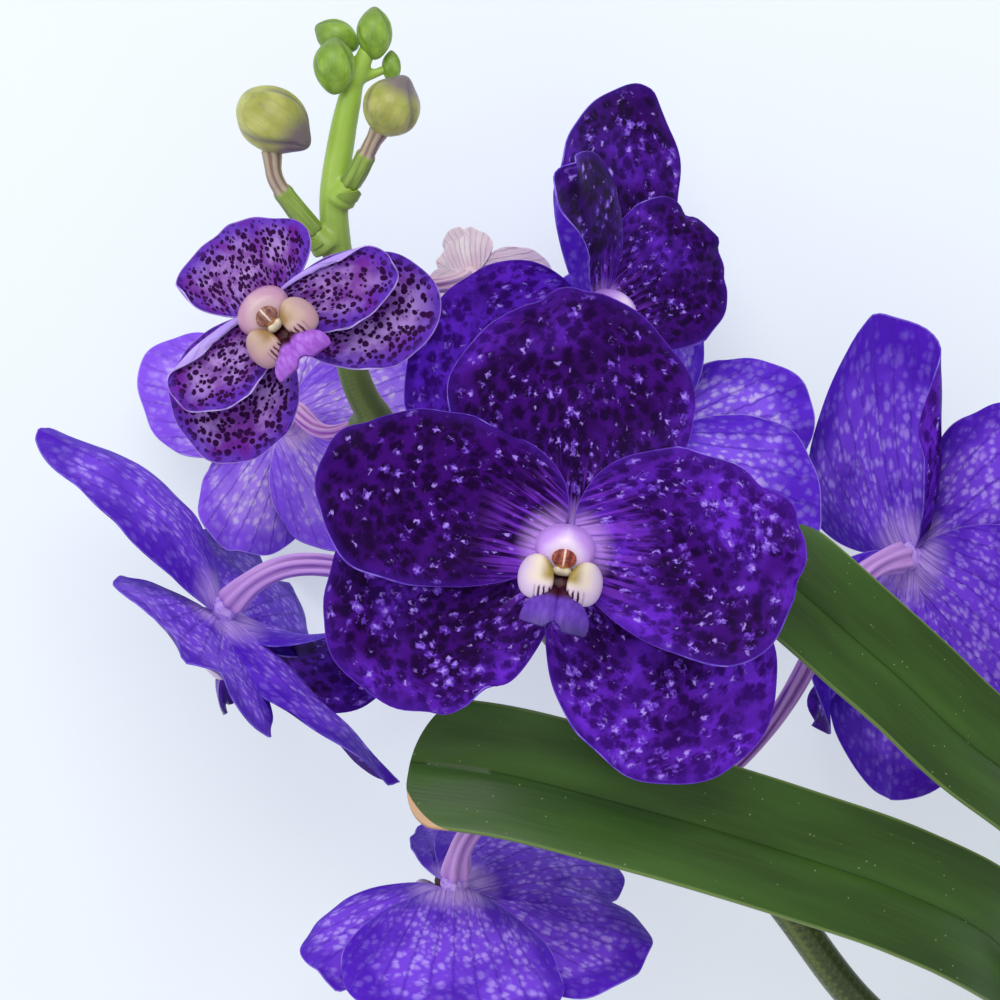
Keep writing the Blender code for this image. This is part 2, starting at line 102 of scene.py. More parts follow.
# %% Camera
camera_data = bpy.data.cameras.new("camera")
camera = bpy.data.objects.new("camera", camera_data)
bpy.context.scene.collection.objects.link(camera)
camera.location = (-0.0440, 0.0343, 0.758)
camera_data.sensor_width = 36
camera_data.lens = 106.85
camera_data.clip_start = 0.01
bpy.context.scene.camera = camera
bpy.context.scene.view_settings.view_transform = "Standard"
print("camera at", tuple(round(x, 3) for x in camera.location))


# %% Light
def soft_lamp(name, place, size, power):
    """A square lamp that looks at the middle of the plant."""
    data = bpy.data.lights.new(name, "AREA")
    data.size = size
    data.energy = power
    lamp = bpy.data.objects.new(name, data)
    bpy.context.scene.collection.objects.link(lamp)
    lamp.location = place
    lamp.rotation_euler = (Vector((0, 0, 0.05)) - Vector(place)).to_track_quat("-Z", "Y").to_euler()


sky = bpy.data.worlds.new("pale sky")
sky.use_nodes = True
sky.node_tree.nodes["Background"].inputs["Color"].default_value = (0.97, 0.98, 1.0, 1)
sky.node_tree.nodes["Background"].inputs["Strength"].default_value = 0.66
bpy.context.scene.world = sky
soft_lamp("top lamp", (-0.15, 0.75, 1.15), 0.8, 7.5)
soft_lamp("side lamp", (-1.0, 0.0, 0.9), 0.7, 2.5)


# %% [markdown]
# ## Ways of working on a mesh
#
# Most pieces start as one of Blender's primitives. These helpers do what a hand does on screen: hold one
# object, shape its points, merge doubles and turn the faces outwards, and apply a modifier. A petal, a leaf
# or a stalk has a form that no few extrusions give, so a flat grid is added first, and every point of it is
# laid on the real surface.


# %% Helpers for meshes
def hold(obj):
    """Makes the object the only selected one, and the active one."""
    for other in bpy.context.selected_objects:
        other.select_set(False)
    obj.select_set(True)
    bpy.context.view_layer.objects.active = obj


def name_piece(name):
    obj = bpy.context.object
    obj.name = name
    obj.data.name = name
    return obj


def points_of(obj):
    flat = np.zeros(len(obj.data.vertices) * 3)
    obj.data.vertices.foreach_get("co", flat)
    return flat.reshape(-1, 3)


def lay_points(obj, points):
    obj.data.vertices.foreach_set("co", np.asarray(points, float).ravel())
    obj.data.update()


def note(obj, name, values):
    """Stores a vector or a number for each point, for the materials to read."""
    values = np.asarray(values, float)
    kind = "FLOAT_VECTOR" if values.ndim == 2 else "FLOAT"
    stored = obj.data.attributes.get(name) or obj.data.attributes.new(name, kind, "POINT")
    stored.data.foreach_set("vector" if values.ndim == 2 else "value", values.ravel())


def grid(name, columns, rows):
    """A flat grid, and its points' places across, from -1 to 1, and along, from 0 to 1."""
    bpy.ops.mesh.primitive_grid_add(x_subdivisions=columns, y_subdivisions=rows, size=2)
    obj = name_piece(name)
    places = points_of(obj)
    return obj, places[:, 0], (places[:, 1] + 1) / 2


def close_up(obj):
    """Merges points that lie on each other, and turns the faces outwards."""
    hold(obj)
    bpy.ops.object.mode_set(mode="EDIT")
    bpy.ops.mesh.select_all(action="SELECT")
    bpy.ops.mesh.remove_doubles(threshold=1e-6)
    bpy.ops.mesh.normals_make_consistent(inside=False)
    bpy.ops.object.mode_set(mode="OBJECT")
    return obj


def apply_modifier(obj, kind, **settings):
    modifier = obj.modifiers.new(kind.title(), kind)
    for setting, value in settings.items():
        setattr(modifier, setting, value)
    hold(obj)
    bpy.ops.object.modifier_apply(modifier=modifier.name)
    return obj


def join(name, pieces):
    hold(pieces[0])
    for piece in pieces[1:]:
        piece.select_set(True)
    bpy.ops.object.join()
    return name_piece(name)


def smooth_faces(obj, angle=60):
    hold(obj)
    bpy.ops.object.shade_smooth_by_angle(angle=math.radians(angle))


def dress(obj, *finishes):
    obj.data.materials.clear()
    for finish in finishes:
        obj.data.materials.append(finish)
    return obj


def count(obj):
    obj.data.calc_loop_triangles()
    return len(obj.data.loop_triangles)


def settle(obj, slot, *nodes):
    """Lets a finished piece stand for its plain solids."""
    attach(obj, "root")
    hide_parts(*nodes)
    PIECES.append(obj)


PIECES = []
print("helpers ready")

# %% Table
bpy.ops.mesh.primitive_plane_add(size=8, location=(0, 0, -0.0002))
table = name_piece("table")
table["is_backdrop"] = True
print("table laid")

# %% [markdown]
# ## Writing materials
#
# A material here is a small recipe of nodes. Its colours are written as on a paint chart and turned into
# the linear values that the renderer works with. The recipe reads what each piece notes on its own points,
# so that veins and spots follow the petal and stay with it. Numbers that are the same all over a surface go
# straight on the shader.


# %% A recipe for materials
def shade(code):
    """A colour from its six-digit code, as linear red, green and blue."""
    parts = [int(code[i:i + 2], 16) / 255 for i in (0, 2, 4)]
    return (*[p / 12.92 if p <= 0.04045 else ((p + 0.055) / 1.055) ** 2.4 for p in parts], 1.0)


class Recipe:
    """A material that is being made, with a short name for each kind of step."""

    def __init__(self, name, roughness=0.5, **sockets):
        self.material = bpy.data.materials.new(name)
        self.material.use_nodes = True
        self.nodes = self.material.node_tree.nodes
        self.shader = self.nodes["Principled BSDF"]
        self.shader.inputs["Roughness"].default_value = roughness
        for socket, value in sockets.items():
            self.shader.inputs[socket.replace("_", " ")].default_value = value

    def step(self, kind, inputs, output=0, **settings):
        made = self.nodes.new(kind)
        for setting, value in settings.items():
            setattr(made, setting, value)
        for socket, value in inputs.items():
            if isinstance(value, bpy.types.NodeSocket):
                self.material.node_tree.links.new(value, made.inputs[socket])
            else:
                made.inputs[socket].default_value = value
        return made.outputs[output]

    def read(self, name):
        return self.step("ShaderNodeAttribute", {}, "Vector", attribute_name=name)

    def read_number(self, name):
        return self.step("ShaderNodeAttribute", {}, "Fac", attribute_name=name)

    def split(self, vector):
        x = self.step("ShaderNodeSeparateXYZ", {0: vector})
        return x, x.node.outputs[1], x.node.outputs[2]

    def maths(self, operation, first, second=0.0):
        return self.step("ShaderNodeMath", {0: first, 1: second}, operation=operation)

    def times(self, first, second):
        return self.maths("MULTIPLY", first, second)

    def ramp(self, value, start, end, low=0.0, high=1.0):
        """Runs softly from low, where the value is at start, to high, where it is at end."""
        inputs = {0: value, 1: start, 2: end, 3: low, 4: high}
        return self.step("ShaderNodeMapRange", inputs, interpolation_type="SMOOTHSTEP")

    def band(self, value, middle, width):
        """One where the value is at the middle, and nought from the width on."""
        return self.ramp(self.maths("ABSOLUTE", self.maths("SUBTRACT", value, middle)), 0.0, width, 1.0, 0.0)

    def mix(self, amount, first, second):
        return self.step("ShaderNodeMix", {0: amount, 6: first, 7: second}, 2, data_type="RGBA")

    def stretch(self, vector, factors):
        return self.step("ShaderNodeVectorMath", {0: vector, 1: factors}, operation="MULTIPLY")

    def noise(self, vector, scale, detail=2.0):
        return self.step("ShaderNodeTexNoise", {"Vector": vector, "Scale": scale, "Detail": detail})

    def wander(self, vector, scale, amount):
        """Pushes a pattern's places about, so that its cells aren't even."""
        pushed = self.step("ShaderNodeTexNoise", {"Vector": vector, "Scale": scale, "Detail": 1.0}, "Color")
        centred = self.step("ShaderNodeVectorMath", {0: pushed, 1: (0.5, 0.5, 0.5)}, operation="SUBTRACT")
        scaled = self.step("ShaderNodeVectorMath", {0: centred, "Scale": amount}, operation="SCALE")
        return self.step("ShaderNodeVectorMath", {0: vector, 1: scaled}, operation="ADD")

    def cells(self, vector, scale):
        """Distance from the middle of the nearest cell, and a random number of that cell."""
        distance = self.step("ShaderNodeTexVoronoi", {"Vector": vector, "Scale": scale})
        chance = self.step("ShaderNodeSeparateXYZ", {0: distance.node.outputs["Color"]})
        return distance, chance

    def relief(self, height, depth):
        """Gives the surface a fine relief, with its depth in millimetres."""
        bump = self.step("ShaderNodeBump", {"Height": height, "Distance": depth * MM}, "Normal")
        self.material.node_tree.links.new(bump, self.shader.inputs["Normal"])

    def paint(self, colour):
        self.material.node_tree.links.new(colour, self.shader.inputs["Base Color"])
        return self.material


print("a recipe is ready; pure violet in linear values:", [round(x, 3) for x in shade("6a45d8")[:3]])

# %% Finish of the table
recipe = Recipe(
    "table paper", 0.9, Specular_IOR_Level=0.1, Emission_Color=shade("eff6ff"), Emission_Strength=0.55
)
grain = recipe.noise(recipe.step("ShaderNodeTexCoord", {}, "Object"), 6.0)
dress(table, recipe.paint(recipe.mix(grain, shade("a8aeb6"), shade("b0b6bd"))))
print("table finish:", table.data.materials[0].name)

# %% [markdown]
# ## The face of a petal
#
# A vanda's petal is pale, with dark spots in rows along its veins. As the bloom ripens the spots swell and
# run into each other, until only torn bits of the pale ground are left between them. Each age has a recipe
# of its own, and they share their start and their edge. In both, cells on a fan of veins have a dark spot
# in their middle. On the ripe petal a second set of cells leaves the torn pale bits, of a size that wanders
# over the petal. Round the heart the colour draws out into streaks, and the margin is a purer violet with a
# thin pale thread. Photographs would give this faster, but a recipe stays sharp at any distance and fits a
# petal of any form.


# %% Petal faces
def start_petal(name):
    """A recipe with what every petal reads: the fan of veins, its painted shade, and the distances from heart
    and margin.
    """
    recipe = Recipe(name, 0.5, Specular_IOR_Level=0.10, Specular_Tint=shade("b9a0ff"))
    return recipe, recipe.read("fan"), recipe.split(recipe.read("zone"))


def finish_margin(recipe, colour, margin, tint, thread):
    """Tints the margin, and lays the thin pale thread that runs along its very edge."""
    colour = recipe.mix(recipe.ramp(margin, 0.3, 2.6, 0.5, 0.0), colour, tint)
    return recipe.mix(recipe.ramp(margin, 0.05, 0.30, 0.5, 0.0), colour, thread)


def violet_face(name):
    """Dark spots that have run together, with small torn pale bits of the ground left between them."""
    recipe, fan, (depth, reach, margin) = start_petal(name)
    places = recipe.wander(recipe.wander(fan, 0.16, 1.6), 0.9, 1.3)
    distance, _ = recipe.cells(recipe.stretch(places, (1.0, 0.74, 1.0)), 0.50)
    # Painted light and shade: broad noise makes the face lighter and darker, the petal's depth darkens it as
    # painted shade, and it is a little lighter towards the margin. The dark spots and the net each get a
    # shaded and a lit colour, mixed by the painted light.
    broad = recipe.noise(fan, 0.055, 2.0)
    cloud = recipe.noise(fan, 0.19, 2.0)
    light = recipe.maths("SUBTRACT", broad, recipe.times(depth, 0.30))
    light = recipe.maths("ADD", light, recipe.ramp(margin, 0.0, 9.0, 0.07, 0.0))
    painted_light = recipe.ramp(light, 0.24, 0.56)
    torn_edge = recipe.ramp(recipe.noise(places, 1.3, 1.0), 0.3, 0.7, -0.08, 0.08)
    net = recipe.ramp(recipe.maths("ADD", distance, torn_edge), 0.30, 0.74)
    night = recipe.mix(painted_light, shade("1c0232"), shade("3a0f74"))
    glow = recipe.mix(painted_light, shade("3c0a70"), shade("6c2cd0"))
    colour = recipe.mix(recipe.times(net, recipe.ramp(cloud, 0.30, 0.60, 0.35, 1.0)), night, glow)
    bits = recipe.stretch(recipe.wander(recipe.wander(fan, 0.16, 1.6), 1.0, 1.2), (1.0, 0.70, 1.0))
    core, luck = recipe.cells(bits, 0.50)
    core = recipe.maths("ADD", core, recipe.ramp(recipe.noise(bits, 1.6, 1.0), 0.3, 0.7, -0.16, 0.16))
    # Petals with deeper painted shade keep smaller torn pale bits.
    size = recipe.maths("SUBTRACT", recipe.ramp(luck, 0.05, 0.95, 0.18, 0.56), recipe.times(depth, 0.09))
    size = recipe.times(size, recipe.ramp(recipe.noise(fan, 0.10, 2.0), 0.34, 0.60, 0.40, 1.0))
    torn = recipe.ramp(recipe.maths("SUBTRACT", core, size), -0.24, 0.07, 1.0, 0.0)
    torn = recipe.times(torn, recipe.ramp(size, 0.04, 0.20))
    pale = recipe.mix(recipe.ramp(core, 0.0, 0.28), shade("ae90ec"), shade("7446cc"))
    colour = recipe.mix(recipe.times(torn, recipe.ramp(margin, 0.3, 1.6, 0.0, 0.95)), colour, pale)
    lines = recipe.noise(recipe.wander(recipe.stretch(fan, (0.85, 0.07, 1.0)), 0.5, 0.5), 1.0, 3.0)
    streaks = recipe.times(recipe.ramp(lines, 0.48, 0.62), recipe.ramp(reach, 5.0, 22.0, 0.9, 0.0))
    colour = recipe.mix(streaks, colour, shade("8a3fdc"))
    near = recipe.times(recipe.ramp(lines, 0.30, 0.54, 0.30, 1.0), recipe.ramp(reach, 4.0, 10.5, 1.0, 0.0))
    colour = recipe.mix(near, colour, shade("d2a0f8"))
    colour = finish_margin(recipe, colour, margin, shade("431590"), shade("7a4ed4"))
    recipe.relief(lines, 0.055)
    return recipe.paint(colour)


def spotted_face(name):
    """Round dark spots that still stand apart on a pale purple ground, magenta towards the heart."""
    recipe, fan, (_, reach, margin) = start_petal(name)
    places = recipe.wander(recipe.stretch(fan, (0.70, 0.92, 1.0)), 0.5, 0.9)
    distance, chance = recipe.cells(places, 0.82)
    size = recipe.ramp(chance, 0.0, 0.8, 0.31, 0.54)
    spots = recipe.ramp(recipe.maths("SUBTRACT", distance, size), -0.05, 0.05, 1.0, 0.0)
    cloud = recipe.noise(fan, 0.10, 3.0)
    colour = recipe.mix(recipe.ramp(cloud, 0.32, 0.62), shade("74349a"), shade("ac86ce"))
    colour = recipe.mix(recipe.ramp(recipe.noise(places, 0.5), 0.40, 0.68, 0.0, 0.6), colour, shade("5e2a80"))
    colour = recipe.mix(recipe.ramp(margin, 0.5, 7.0, 0.8, 0.0), colour, shade("5a28b0"))
    blots = recipe.ramp(recipe.noise(fan, 0.16, 2.0), 0.50, 0.62, 0.0, 0.7)
    blots = recipe.times(blots, recipe.ramp(margin, 1.0, 9.0, 1.0, 0.3))
    colour = recipe.mix(blots, colour, shade("6a1684"))
    wash = recipe.ramp(recipe.maths("ADD", reach, recipe.times(cloud, 9.0)), 8.0, 17.0, 0.85, 0.0)
    colour = recipe.mix(wash, colour, shade("9a4498"))
    colour = recipe.mix(spots, colour, recipe.mix(chance, shade("1c0424"), shade("340a40")))
    lines = recipe.noise(recipe.stretch(fan, (0.55, 0.05, 1.0)), 1.0, 2.0)
    claw = recipe.times(recipe.ramp(reach, 6.5, 11.5, 1.0, 0.0), recipe.ramp(lines, 0.42, 0.50))
    colour = recipe.mix(claw, colour, shade("44082c"))
    colour = finish_margin(recipe, colour, margin, shade("5c34b4"), shade("c6a8ea"))
    recipe.relief(recipe.maths("ADD", recipe.times(spots, 0.4), recipe.times(lines, 0.8)), 0.08)
    return recipe.paint(colour)


VIOLET_FACE = violet_face("violet petal face")
SPOTTED_FACE = spotted_face("spotted petal face")
print("faces:", VIOLET_FACE.name, "and", SPOTTED_FACE.name)


# %% [markdown]
# ## The back of a petal
#
# The back is lighter and bluer. The same net shows through it in reverse, as rows of soft pale spots
# between darker veins, and towards the stalk the colour runs out into pink or white. Blooms differ here by
# age, so the back is a recipe with its own colours for each family of blooms.


# %% Petal backs
def petal_back(name, ground, shadow, spot, vein, base, clear=1.0):
    """A lighter net of pale spots and darker veins; clear is how plainly they show."""
    recipe, fan, (_, reach, margin) = start_petal(name)
    places = recipe.wander(recipe.wander(fan, 0.35, 1.2), 1.2, 0.7)
    distance, chance = recipe.cells(recipe.stretch(places, (1.0, 0.72, 1.0)), 0.56)
    reached = recipe.maths("SUBTRACT", distance, recipe.ramp(chance, 0.0, 1.0, -0.08, 0.16))
    spots = recipe.ramp(reached, 0.06, 0.56, 1.0, 0.0)
    cloud = recipe.noise(fan, 0.075, 3.0)
    inward = recipe.maths("ADD", cloud, recipe.ramp(margin, 0.5, 11.0, -0.16, 0.10))
    inward = recipe.maths("SUBTRACT", inward, recipe.ramp(reach, 34.0, 58.0, 0.0, 0.16))
    patches = recipe.ramp(inward, 0.34, 0.66, 0.22, 1.0)
    colour = recipe.mix(recipe.ramp(inward, 0.28, 0.68), shadow, ground)
    colour = recipe.mix(recipe.times(spots, recipe.times(patches, 0.95 * clear)), colour, spot)
    x, _, _ = recipe.split(places)
    lines = recipe.maths("ABSOLUTE", recipe.maths("SINE", recipe.times(x, 0.75)))
    colour = recipe.mix(recipe.ramp(lines, 0.0, 0.40, 0.55 * clear, 0.0), colour, vein)
    streaks = recipe.noise(recipe.stretch(fan, (1.4, 0.05, 1.0)), 1.0, 3.0)
    near = recipe.times(recipe.ramp(reach, 3.0, 13.0, 0.95, 0.0), recipe.ramp(streaks, 0.34, 0.60, 0.45, 1.0))
    colour = recipe.mix(near, colour, base)
    colour = finish_margin(recipe, colour, margin, shadow, spot)
    raised = recipe.ramp(lines, 0.0, 0.4, 1.0, 0.0)
    recipe.relief(recipe.maths("ADD", recipe.times(spots, -0.6), raised), 0.14)
    return recipe.paint(colour)


VIOLET_BACK = petal_back(
    "violet petal back",
    shade("7e48e6"), shade("5220bc"), shade("b898fc"), shade("5020b4"), shade("d8b6f6"),
)
LAVENDER_BACK = petal_back(
    "lavender petal back",
    shade("ba90ff"), shade("8c58ee"), shade("e6d4ff"), shade("7a4cd4"), shade("f0d0f2"),
)
CLEAR_BACK = petal_back(
    "clear petal back",
    shade("9462fa"), shade("602cd0"), shade("d8c4ff"), shade("5626c0"), shade("d0baf8"),
)
LILAC_BACK = petal_back(
    "lilac petal back",
    shade("c9b2f6"), shade("b094e8"), shade("dccafc"), shade("a688da"), shade("e0c0e2"), 0.4,
)
BLUSH_BACK = petal_back(
    "blush petal back",
    shade("f6eaea"), shade("e2ccd4"), shade("fcf8f6"), shade("c49cb2"), shade("ecccd4"), 0.5,
)
print("backs:", [m.name for m in bpy.data.materials if m.name.endswith("back")])


# %% Petal rims
def petal_rim(name, one, other):
    recipe = Recipe(name, 0.5, Specular_IOR_Level=0.3)
    tint = recipe.noise(recipe.read("fan"), 0.4)
    return recipe.paint(recipe.mix(recipe.ramp(tint, 0.35, 0.65), one, other))


VIOLET_RIM = petal_rim("violet petal rim", shade("5a36c4"), shade("8a6ce6"))
LILAC_RIM = petal_rim("lilac petal rim", shade("b492ec"), shade("d4c0fa"))
BLUSH_RIM = petal_rim("blush petal rim", shade("e4d0d8"), shade("f0e6e6"))
print("rims:", [m.name for m in bpy.data.materials if m.name.endswith("rim")])

# %% [markdown]
# ## The form of a petal
#
# A petal starts as a narrow claw, widens to a broad round blade, and is cupped across and bent along its
# length. Each of these is one named number, so all the petals of all the blooms come from one formula, and
# match the solids. The fine blade adds what the solids leave out: a shallow channel down the middle, slow
# unevenness, a margin that waves and nicks. The young bloom and one petal of the top one have rolled edges.

# %% Petal facts
# A petal's depth is how much painted shade darkens its violet face.
PETAL = dict(
    angle=0, length=56, width=50, claw=0.17, shoulder=0.56, point=0, pitch=0, bend=0, cup=14,
    curl_left=0, curl_right=0, twist=0, sway=0, ripple=1.2, waves=3.0, phase=0, lift=0,
    widen=0.8, skew=0, roll_left=0, roll_right=0, roll_from=0.7, wave=0.5, depth=0.5, nicks=(),
)
DORSAL = dict(PETAL, length=57, width=54, pitch=-5, bend=6, ripple=0.8, point=2.0)
SIDE = dict(
    PETAL, length=53, width=42, claw=0.15, pitch=5, bend=2, lift=1.6, ripple=1.6, waves=4.0, widen=0.6
)
SIDE_LEFT = dict(SIDE, angle=-84, phase=40)
SIDE_RIGHT = dict(SIDE, angle=84, phase=140)
LOWER = dict(PETAL, length=57, width=50, pitch=-7, bend=4, ripple=1.4, point=1.5)
LOWER_LEFT = dict(LOWER, angle=-140, phase=70)
LOWER_RIGHT = dict(LOWER, angle=140, phase=200)
FIVE_PETALS = dict(
    dorsal=DORSAL, side_left=SIDE_LEFT, side_right=SIDE_RIGHT, lower_left=LOWER_LEFT, lower_right=LOWER_RIGHT
)
PETAL_THICKNESS = 0.8
CLAW_START = 1.5
HUB_RADIUS = 3.33  # slimmer than the solid's, because the claws' roots are finer here
HUB_BACK = 3.5
HUB_FRONT = 2.2


def bloom(centre, facing, up, size, root, side, reach=(0.42, 0.42), every=None, age="ripe", **changes):
    """One bloom's facts: where its heart is and how it looks out, and what its petals have of their own."""
    every = every or {}
    petals = {name: dict(shape, **every, **changes.get(name, {})) for name, shape in FIVE_PETALS.items()}
    return dict(
        centre=centre, facing=facing, up=up, size=size, root=root, side=side, reach=reach, age=age,
        petals=petals,
    )


print("a petal has", len(PETAL), "named numbers")

# %% Bloom facts
# Each petal's depth below sets the painted shade on its face.
BLOOMS = {
    "main": bloom(
        (0, 1.5, 108), (0, 0, 1), (0.17, 1, 0), 1.0, 0.44, (0.2, 0.1, 1),
        dorsal=dict(angle=-7, width=54, length=53.5, depth=0.85, nicks=((-16, 0.9, 4), (4, 0.8, 5))),
        side_left=dict(
            angle=-79.5, length=55, width=40, skew=-0.15, depth=1.3,
            nicks=((112, 1.8, 7), (24, 1.0, 6), (-20, 0.7, 7)),
        ),
        side_right=dict(
            angle=84, length=51, width=46, skew=0.13, depth=0.45,
            nicks=((-42, 1.2, 7), (-18, 0.9, 5), (8, 1.3, 6)),
        ),
        lower_left=dict(
            angle=-122, length=54, width=49, depth=0.6,
            nicks=((-86, 3.6, 9), (-62, -1.2, 7), (30, 1.0, 9)),
        ),
        lower_right=dict(angle=131, length=59, width=48, depth=0.15),
    ),
    "young": bloom(
        (-66, 53.6, 92), (-0.12, 0.05, 1), (-0.93, 1, 0), 0.6, 0.67, (-0.6, 0, 1), age="young",
        dorsal=dict(angle=15, length=34, width=56, roll_left=120, roll_from=0.85),
        side_left=dict(angle=-95, length=46, width=33, roll_right=190, roll_from=0.45, pitch=12),
        side_right=dict(angle=114, length=50, width=31, roll_left=170, roll_from=0.6),
        lower_left=dict(angle=-113, length=56, width=50),
        lower_right=dict(angle=130, length=62, width=46),
    ),
    "top": bloom(
        (7.8, 55.4, 58), (0.62, 0.1, 0.78), (0.25, 1, -0.2), 0.88, 0.53, (0.5, 0.8, -0.2), reach=(0.4, 0.35),
        dorsal=dict(angle=-3, length=64, width=43, sway=7, point=5, depth=0.8),
        side_left=dict(
            angle=-60, length=52, width=33, pitch=36, bend=-8, roll_left=150, roll_from=0.45, depth=0.8
        ),
        side_right=dict(angle=45, length=45, width=41, depth=0.9, nicks=((-30, 1.6, 6), (24, 1.2, 6))),
        lower_left=dict(angle=-136, length=60, width=54, skew=-0.15, pitch=-12, depth=0.2),
        lower_right=dict(angle=152, length=46, depth=0.7),
    ),
    "pale": bloom(
        (-21, 66.5, 33), (0.55, 0.25, -0.8), (0, 1, 0), 0.45, 0.72, (1, 0, -0.4), reach=(0.35, 0.35),
        age="pale", every=dict(pitch=10, bend=20),
        dorsal=dict(angle=14, length=24, width=33),
        side_left=dict(angle=-106, length=44),
        side_right=dict(angle=66, length=30),
        lower_right=dict(angle=135, length=46),
    ),
    "left_upper": bloom(
        (-67, 30.5, 20.4), (-0.2, -0.4, -0.9), (-0.93, 0.35, 0), 0.65, 0.58, (-0.8, -0.1, -0.5), age="fresh",
        lower_right=dict(angle=145),
        side_right=dict(angle=88),
    ),
    "left_lower": bloom(
        (-80, -14.3, 55), (-0.665, -0.665, -0.33), (-0.7, 0.7, 0), 1.0, 0.47, (-1, 0.2, 0.2),
        reach=(0.42, 0.5),
        dorsal=dict(angle=0, length=58, width=38, pitch=-30, bend=62, point=4),
        lower_right=dict(angle=171, length=53, width=35, cup=30, twist=28, sway=6, point=4),
        lower_left=dict(angle=-140, length=50, width=36, twist=130),
        side_left=dict(angle=-92, pitch=-6, bend=25),
        side_right=dict(angle=97, width=50, pitch=-8, bend=-12),
    ),
    "right_upper": bloom(
        (19.5, 23.2, 22), (0.2, -0.1, -0.97), (-0.2, 1, 0), 0.83, 0.50, (0.7, 0.7, -0.4), age="clear",
        lower_left=dict(angle=-124),
    ),
    "right_lower": bloom(
        (85.7, -1.6, 36.6), (0.72, 0.1, -0.69), (0, 1, 0), 1.0, 0.31, (0.65, 0.7, 0.2), reach=(0.5, 0.45),
        dorsal=dict(angle=17, length=49, width=60, shoulder=0.38, sway=-12, curl_left=-150, point=8),
        side_left=dict(angle=-62, width=46, length=50),
        lower_left=dict(angle=-122),
        lower_right=dict(angle=174),
        side_right=dict(angle=148, width=38, length=49, twist=150, pitch=-14),
    ),
    "bottom": bloom(
        (-25, -79, 55), (-0.1, -0.85, -0.5), (0, -0.5, 0.85), 0.95, 0.36, (-0.7, -0.6, 0.2),
        side_left=dict(angle=-40, length=44, width=40),
        side_right=dict(angle=72, length=50, width=46),
        lower_left=dict(angle=176, length=48, pitch=10, bend=20, width=26),
        lower_right=dict(pitch=5, bend=20),
    ),
}
print("blooms:", ", ".join(BLOOMS))


# %% The petal's formula
def side_section(shape, half, across):
    """Place across and height of points on a petal's cupped, curled and rolled cross-section."""
    steps = 12
    x = np.zeros_like(across)
    z = np.zeros_like(across)
    curl = np.where(across > 0, shape["curl_right"], shape["curl_left"])
    roll = np.where(across > 0, shape["roll_right"], shape["roll_left"])
    for step in range(steps):
        part = np.abs(across) * (step + 0.5) / steps
        turn = shape["cup"] * part + curl * smooth((part - 0.45) / 0.55)
        turn = turn + roll * smooth((part - shape["roll_from"]) / (1 - shape["roll_from"]))
        x += np.cos(np.radians(turn)) * np.abs(across) / steps
        z += np.sin(np.radians(turn)) * np.abs(across) / steps
    return np.copysign(x, across) * half, z * half


def petal_points(shape, across, along, seed):
    """Points of a petal in its own frame, and where they lie on it when it is spread flat."""
    side = np.sin(across * math.pi / 2)
    arch = np.cos(across * math.pi / 2)
    grown = np.sin(math.pi / 2 * along ** (shape["widen"] * (1 + 1.5 * shape["skew"] * side)))
    half = 0.5 * shape["width"] * (shape["claw"] + (1 - shape["claw"]) * grown)
    shoulder = shape["shoulder"] + shape["skew"] * side
    reach = shoulder * along + (1 - shoulder) * along**1.5 * arch
    margin = along * (across**2 + (1 - across**2) * along**3)
    turn = np.arctan2(side, 1.3 - along)
    x, z = side_section(shape, half, side)
    flat = np.stack((side * half, reach * shape["length"]), axis=1)

    out_x, out_y = x, (reach - 0.45) * shape["length"]
    far = np.hypot(out_x, out_y) + 1e-6
    bearing = np.degrees(np.arctan2(out_x, out_y))
    edge = shape["wave"] * (np.sin(0.083 * bearing + seed) + 0.6 * np.sin(0.19 * bearing + 2.3 * seed))
    for place, deep, wide in shape["nicks"]:
        edge = edge - deep * np.exp(-(((bearing - place) / wide) ** 2))
    pull = 1 + edge * margin**3 / far
    x = x * pull
    reach = 0.45 + (reach - 0.45) * pull

    z = z + shape["ripple"] * np.sin(shape["waves"] * turn + math.radians(shape["phase"])) * margin**2
    z = z + 0.45 * shape["wave"] * np.sin(9.0 * turn + 3.1 * seed) * margin**4
    z = z - 0.5 * np.exp(-((x / 1.5) ** 2)) * smooth(along * 5) * (1 - 0.6 * along)
    z = z + 0.7 * np.array([noise.noise((a / 11, b / 11, seed)) for a, b in flat])
    x = x + shape["sway"] * reach**2
    twist = math.radians(shape["twist"]) * reach
    x, z = x * np.cos(twist) - z * np.sin(twist), x * np.sin(twist) + z * np.cos(twist)
    slope = math.radians(shape["pitch"])
    bend = math.radians(shape["bend"]) + 1e-6
    end = slope + bend * reach
    y = shape["length"] * (np.sin(end) - math.sin(slope)) / bend
    y = y + shape["point"] * along**6 * np.exp(-12 * across**2)
    height = -shape["length"] * (np.cos(end) - math.cos(slope)) / bend
    return np.stack((x, y - z * np.sin(end), height + z * np.cos(end)), axis=1), flat


def bloom_frame(facts):
    facing = Vector(facts["facing"]).normalized()
    up = Vector(facts["up"])
    up = (up - facing * up.dot(facing)).normalized()
    turn = Matrix((up.cross(facing), up, facing)).transposed().to_4x4()
    return Matrix.Translation(at(facts["centre"])) @ turn


def petal_frame(shape, size):
    angle = math.radians(shape["angle"])
    out = Vector((math.sin(angle), math.cos(angle), 0))
    root = out * CLAW_START * size + Vector((0, 0, shape["lift"] * size))
    return Matrix.Translation(root * MM) @ Matrix.Rotation(-angle, 4, "Z")


def heart_scale(facts):
    """A young bloom's heart is nearly as large as a full-grown one's, though its petals are small."""
    return Matrix.Scale(min(1.0, 0.25 + 1.2 * facts["size"]), 4)


print("the formula is ready")

# %% [markdown]
# ## Making the petals
#
# Each blade is a grid of 44 by 46 faces laid on the formula. Its points note where they are on the fan of
# veins, how far from the heart and how far from the margin. Solidify then gives it its thickness, thin at
# the margin, and puts the face, the back and the rim on three finishes in one step. The five blades and a
# small hub make one piece.

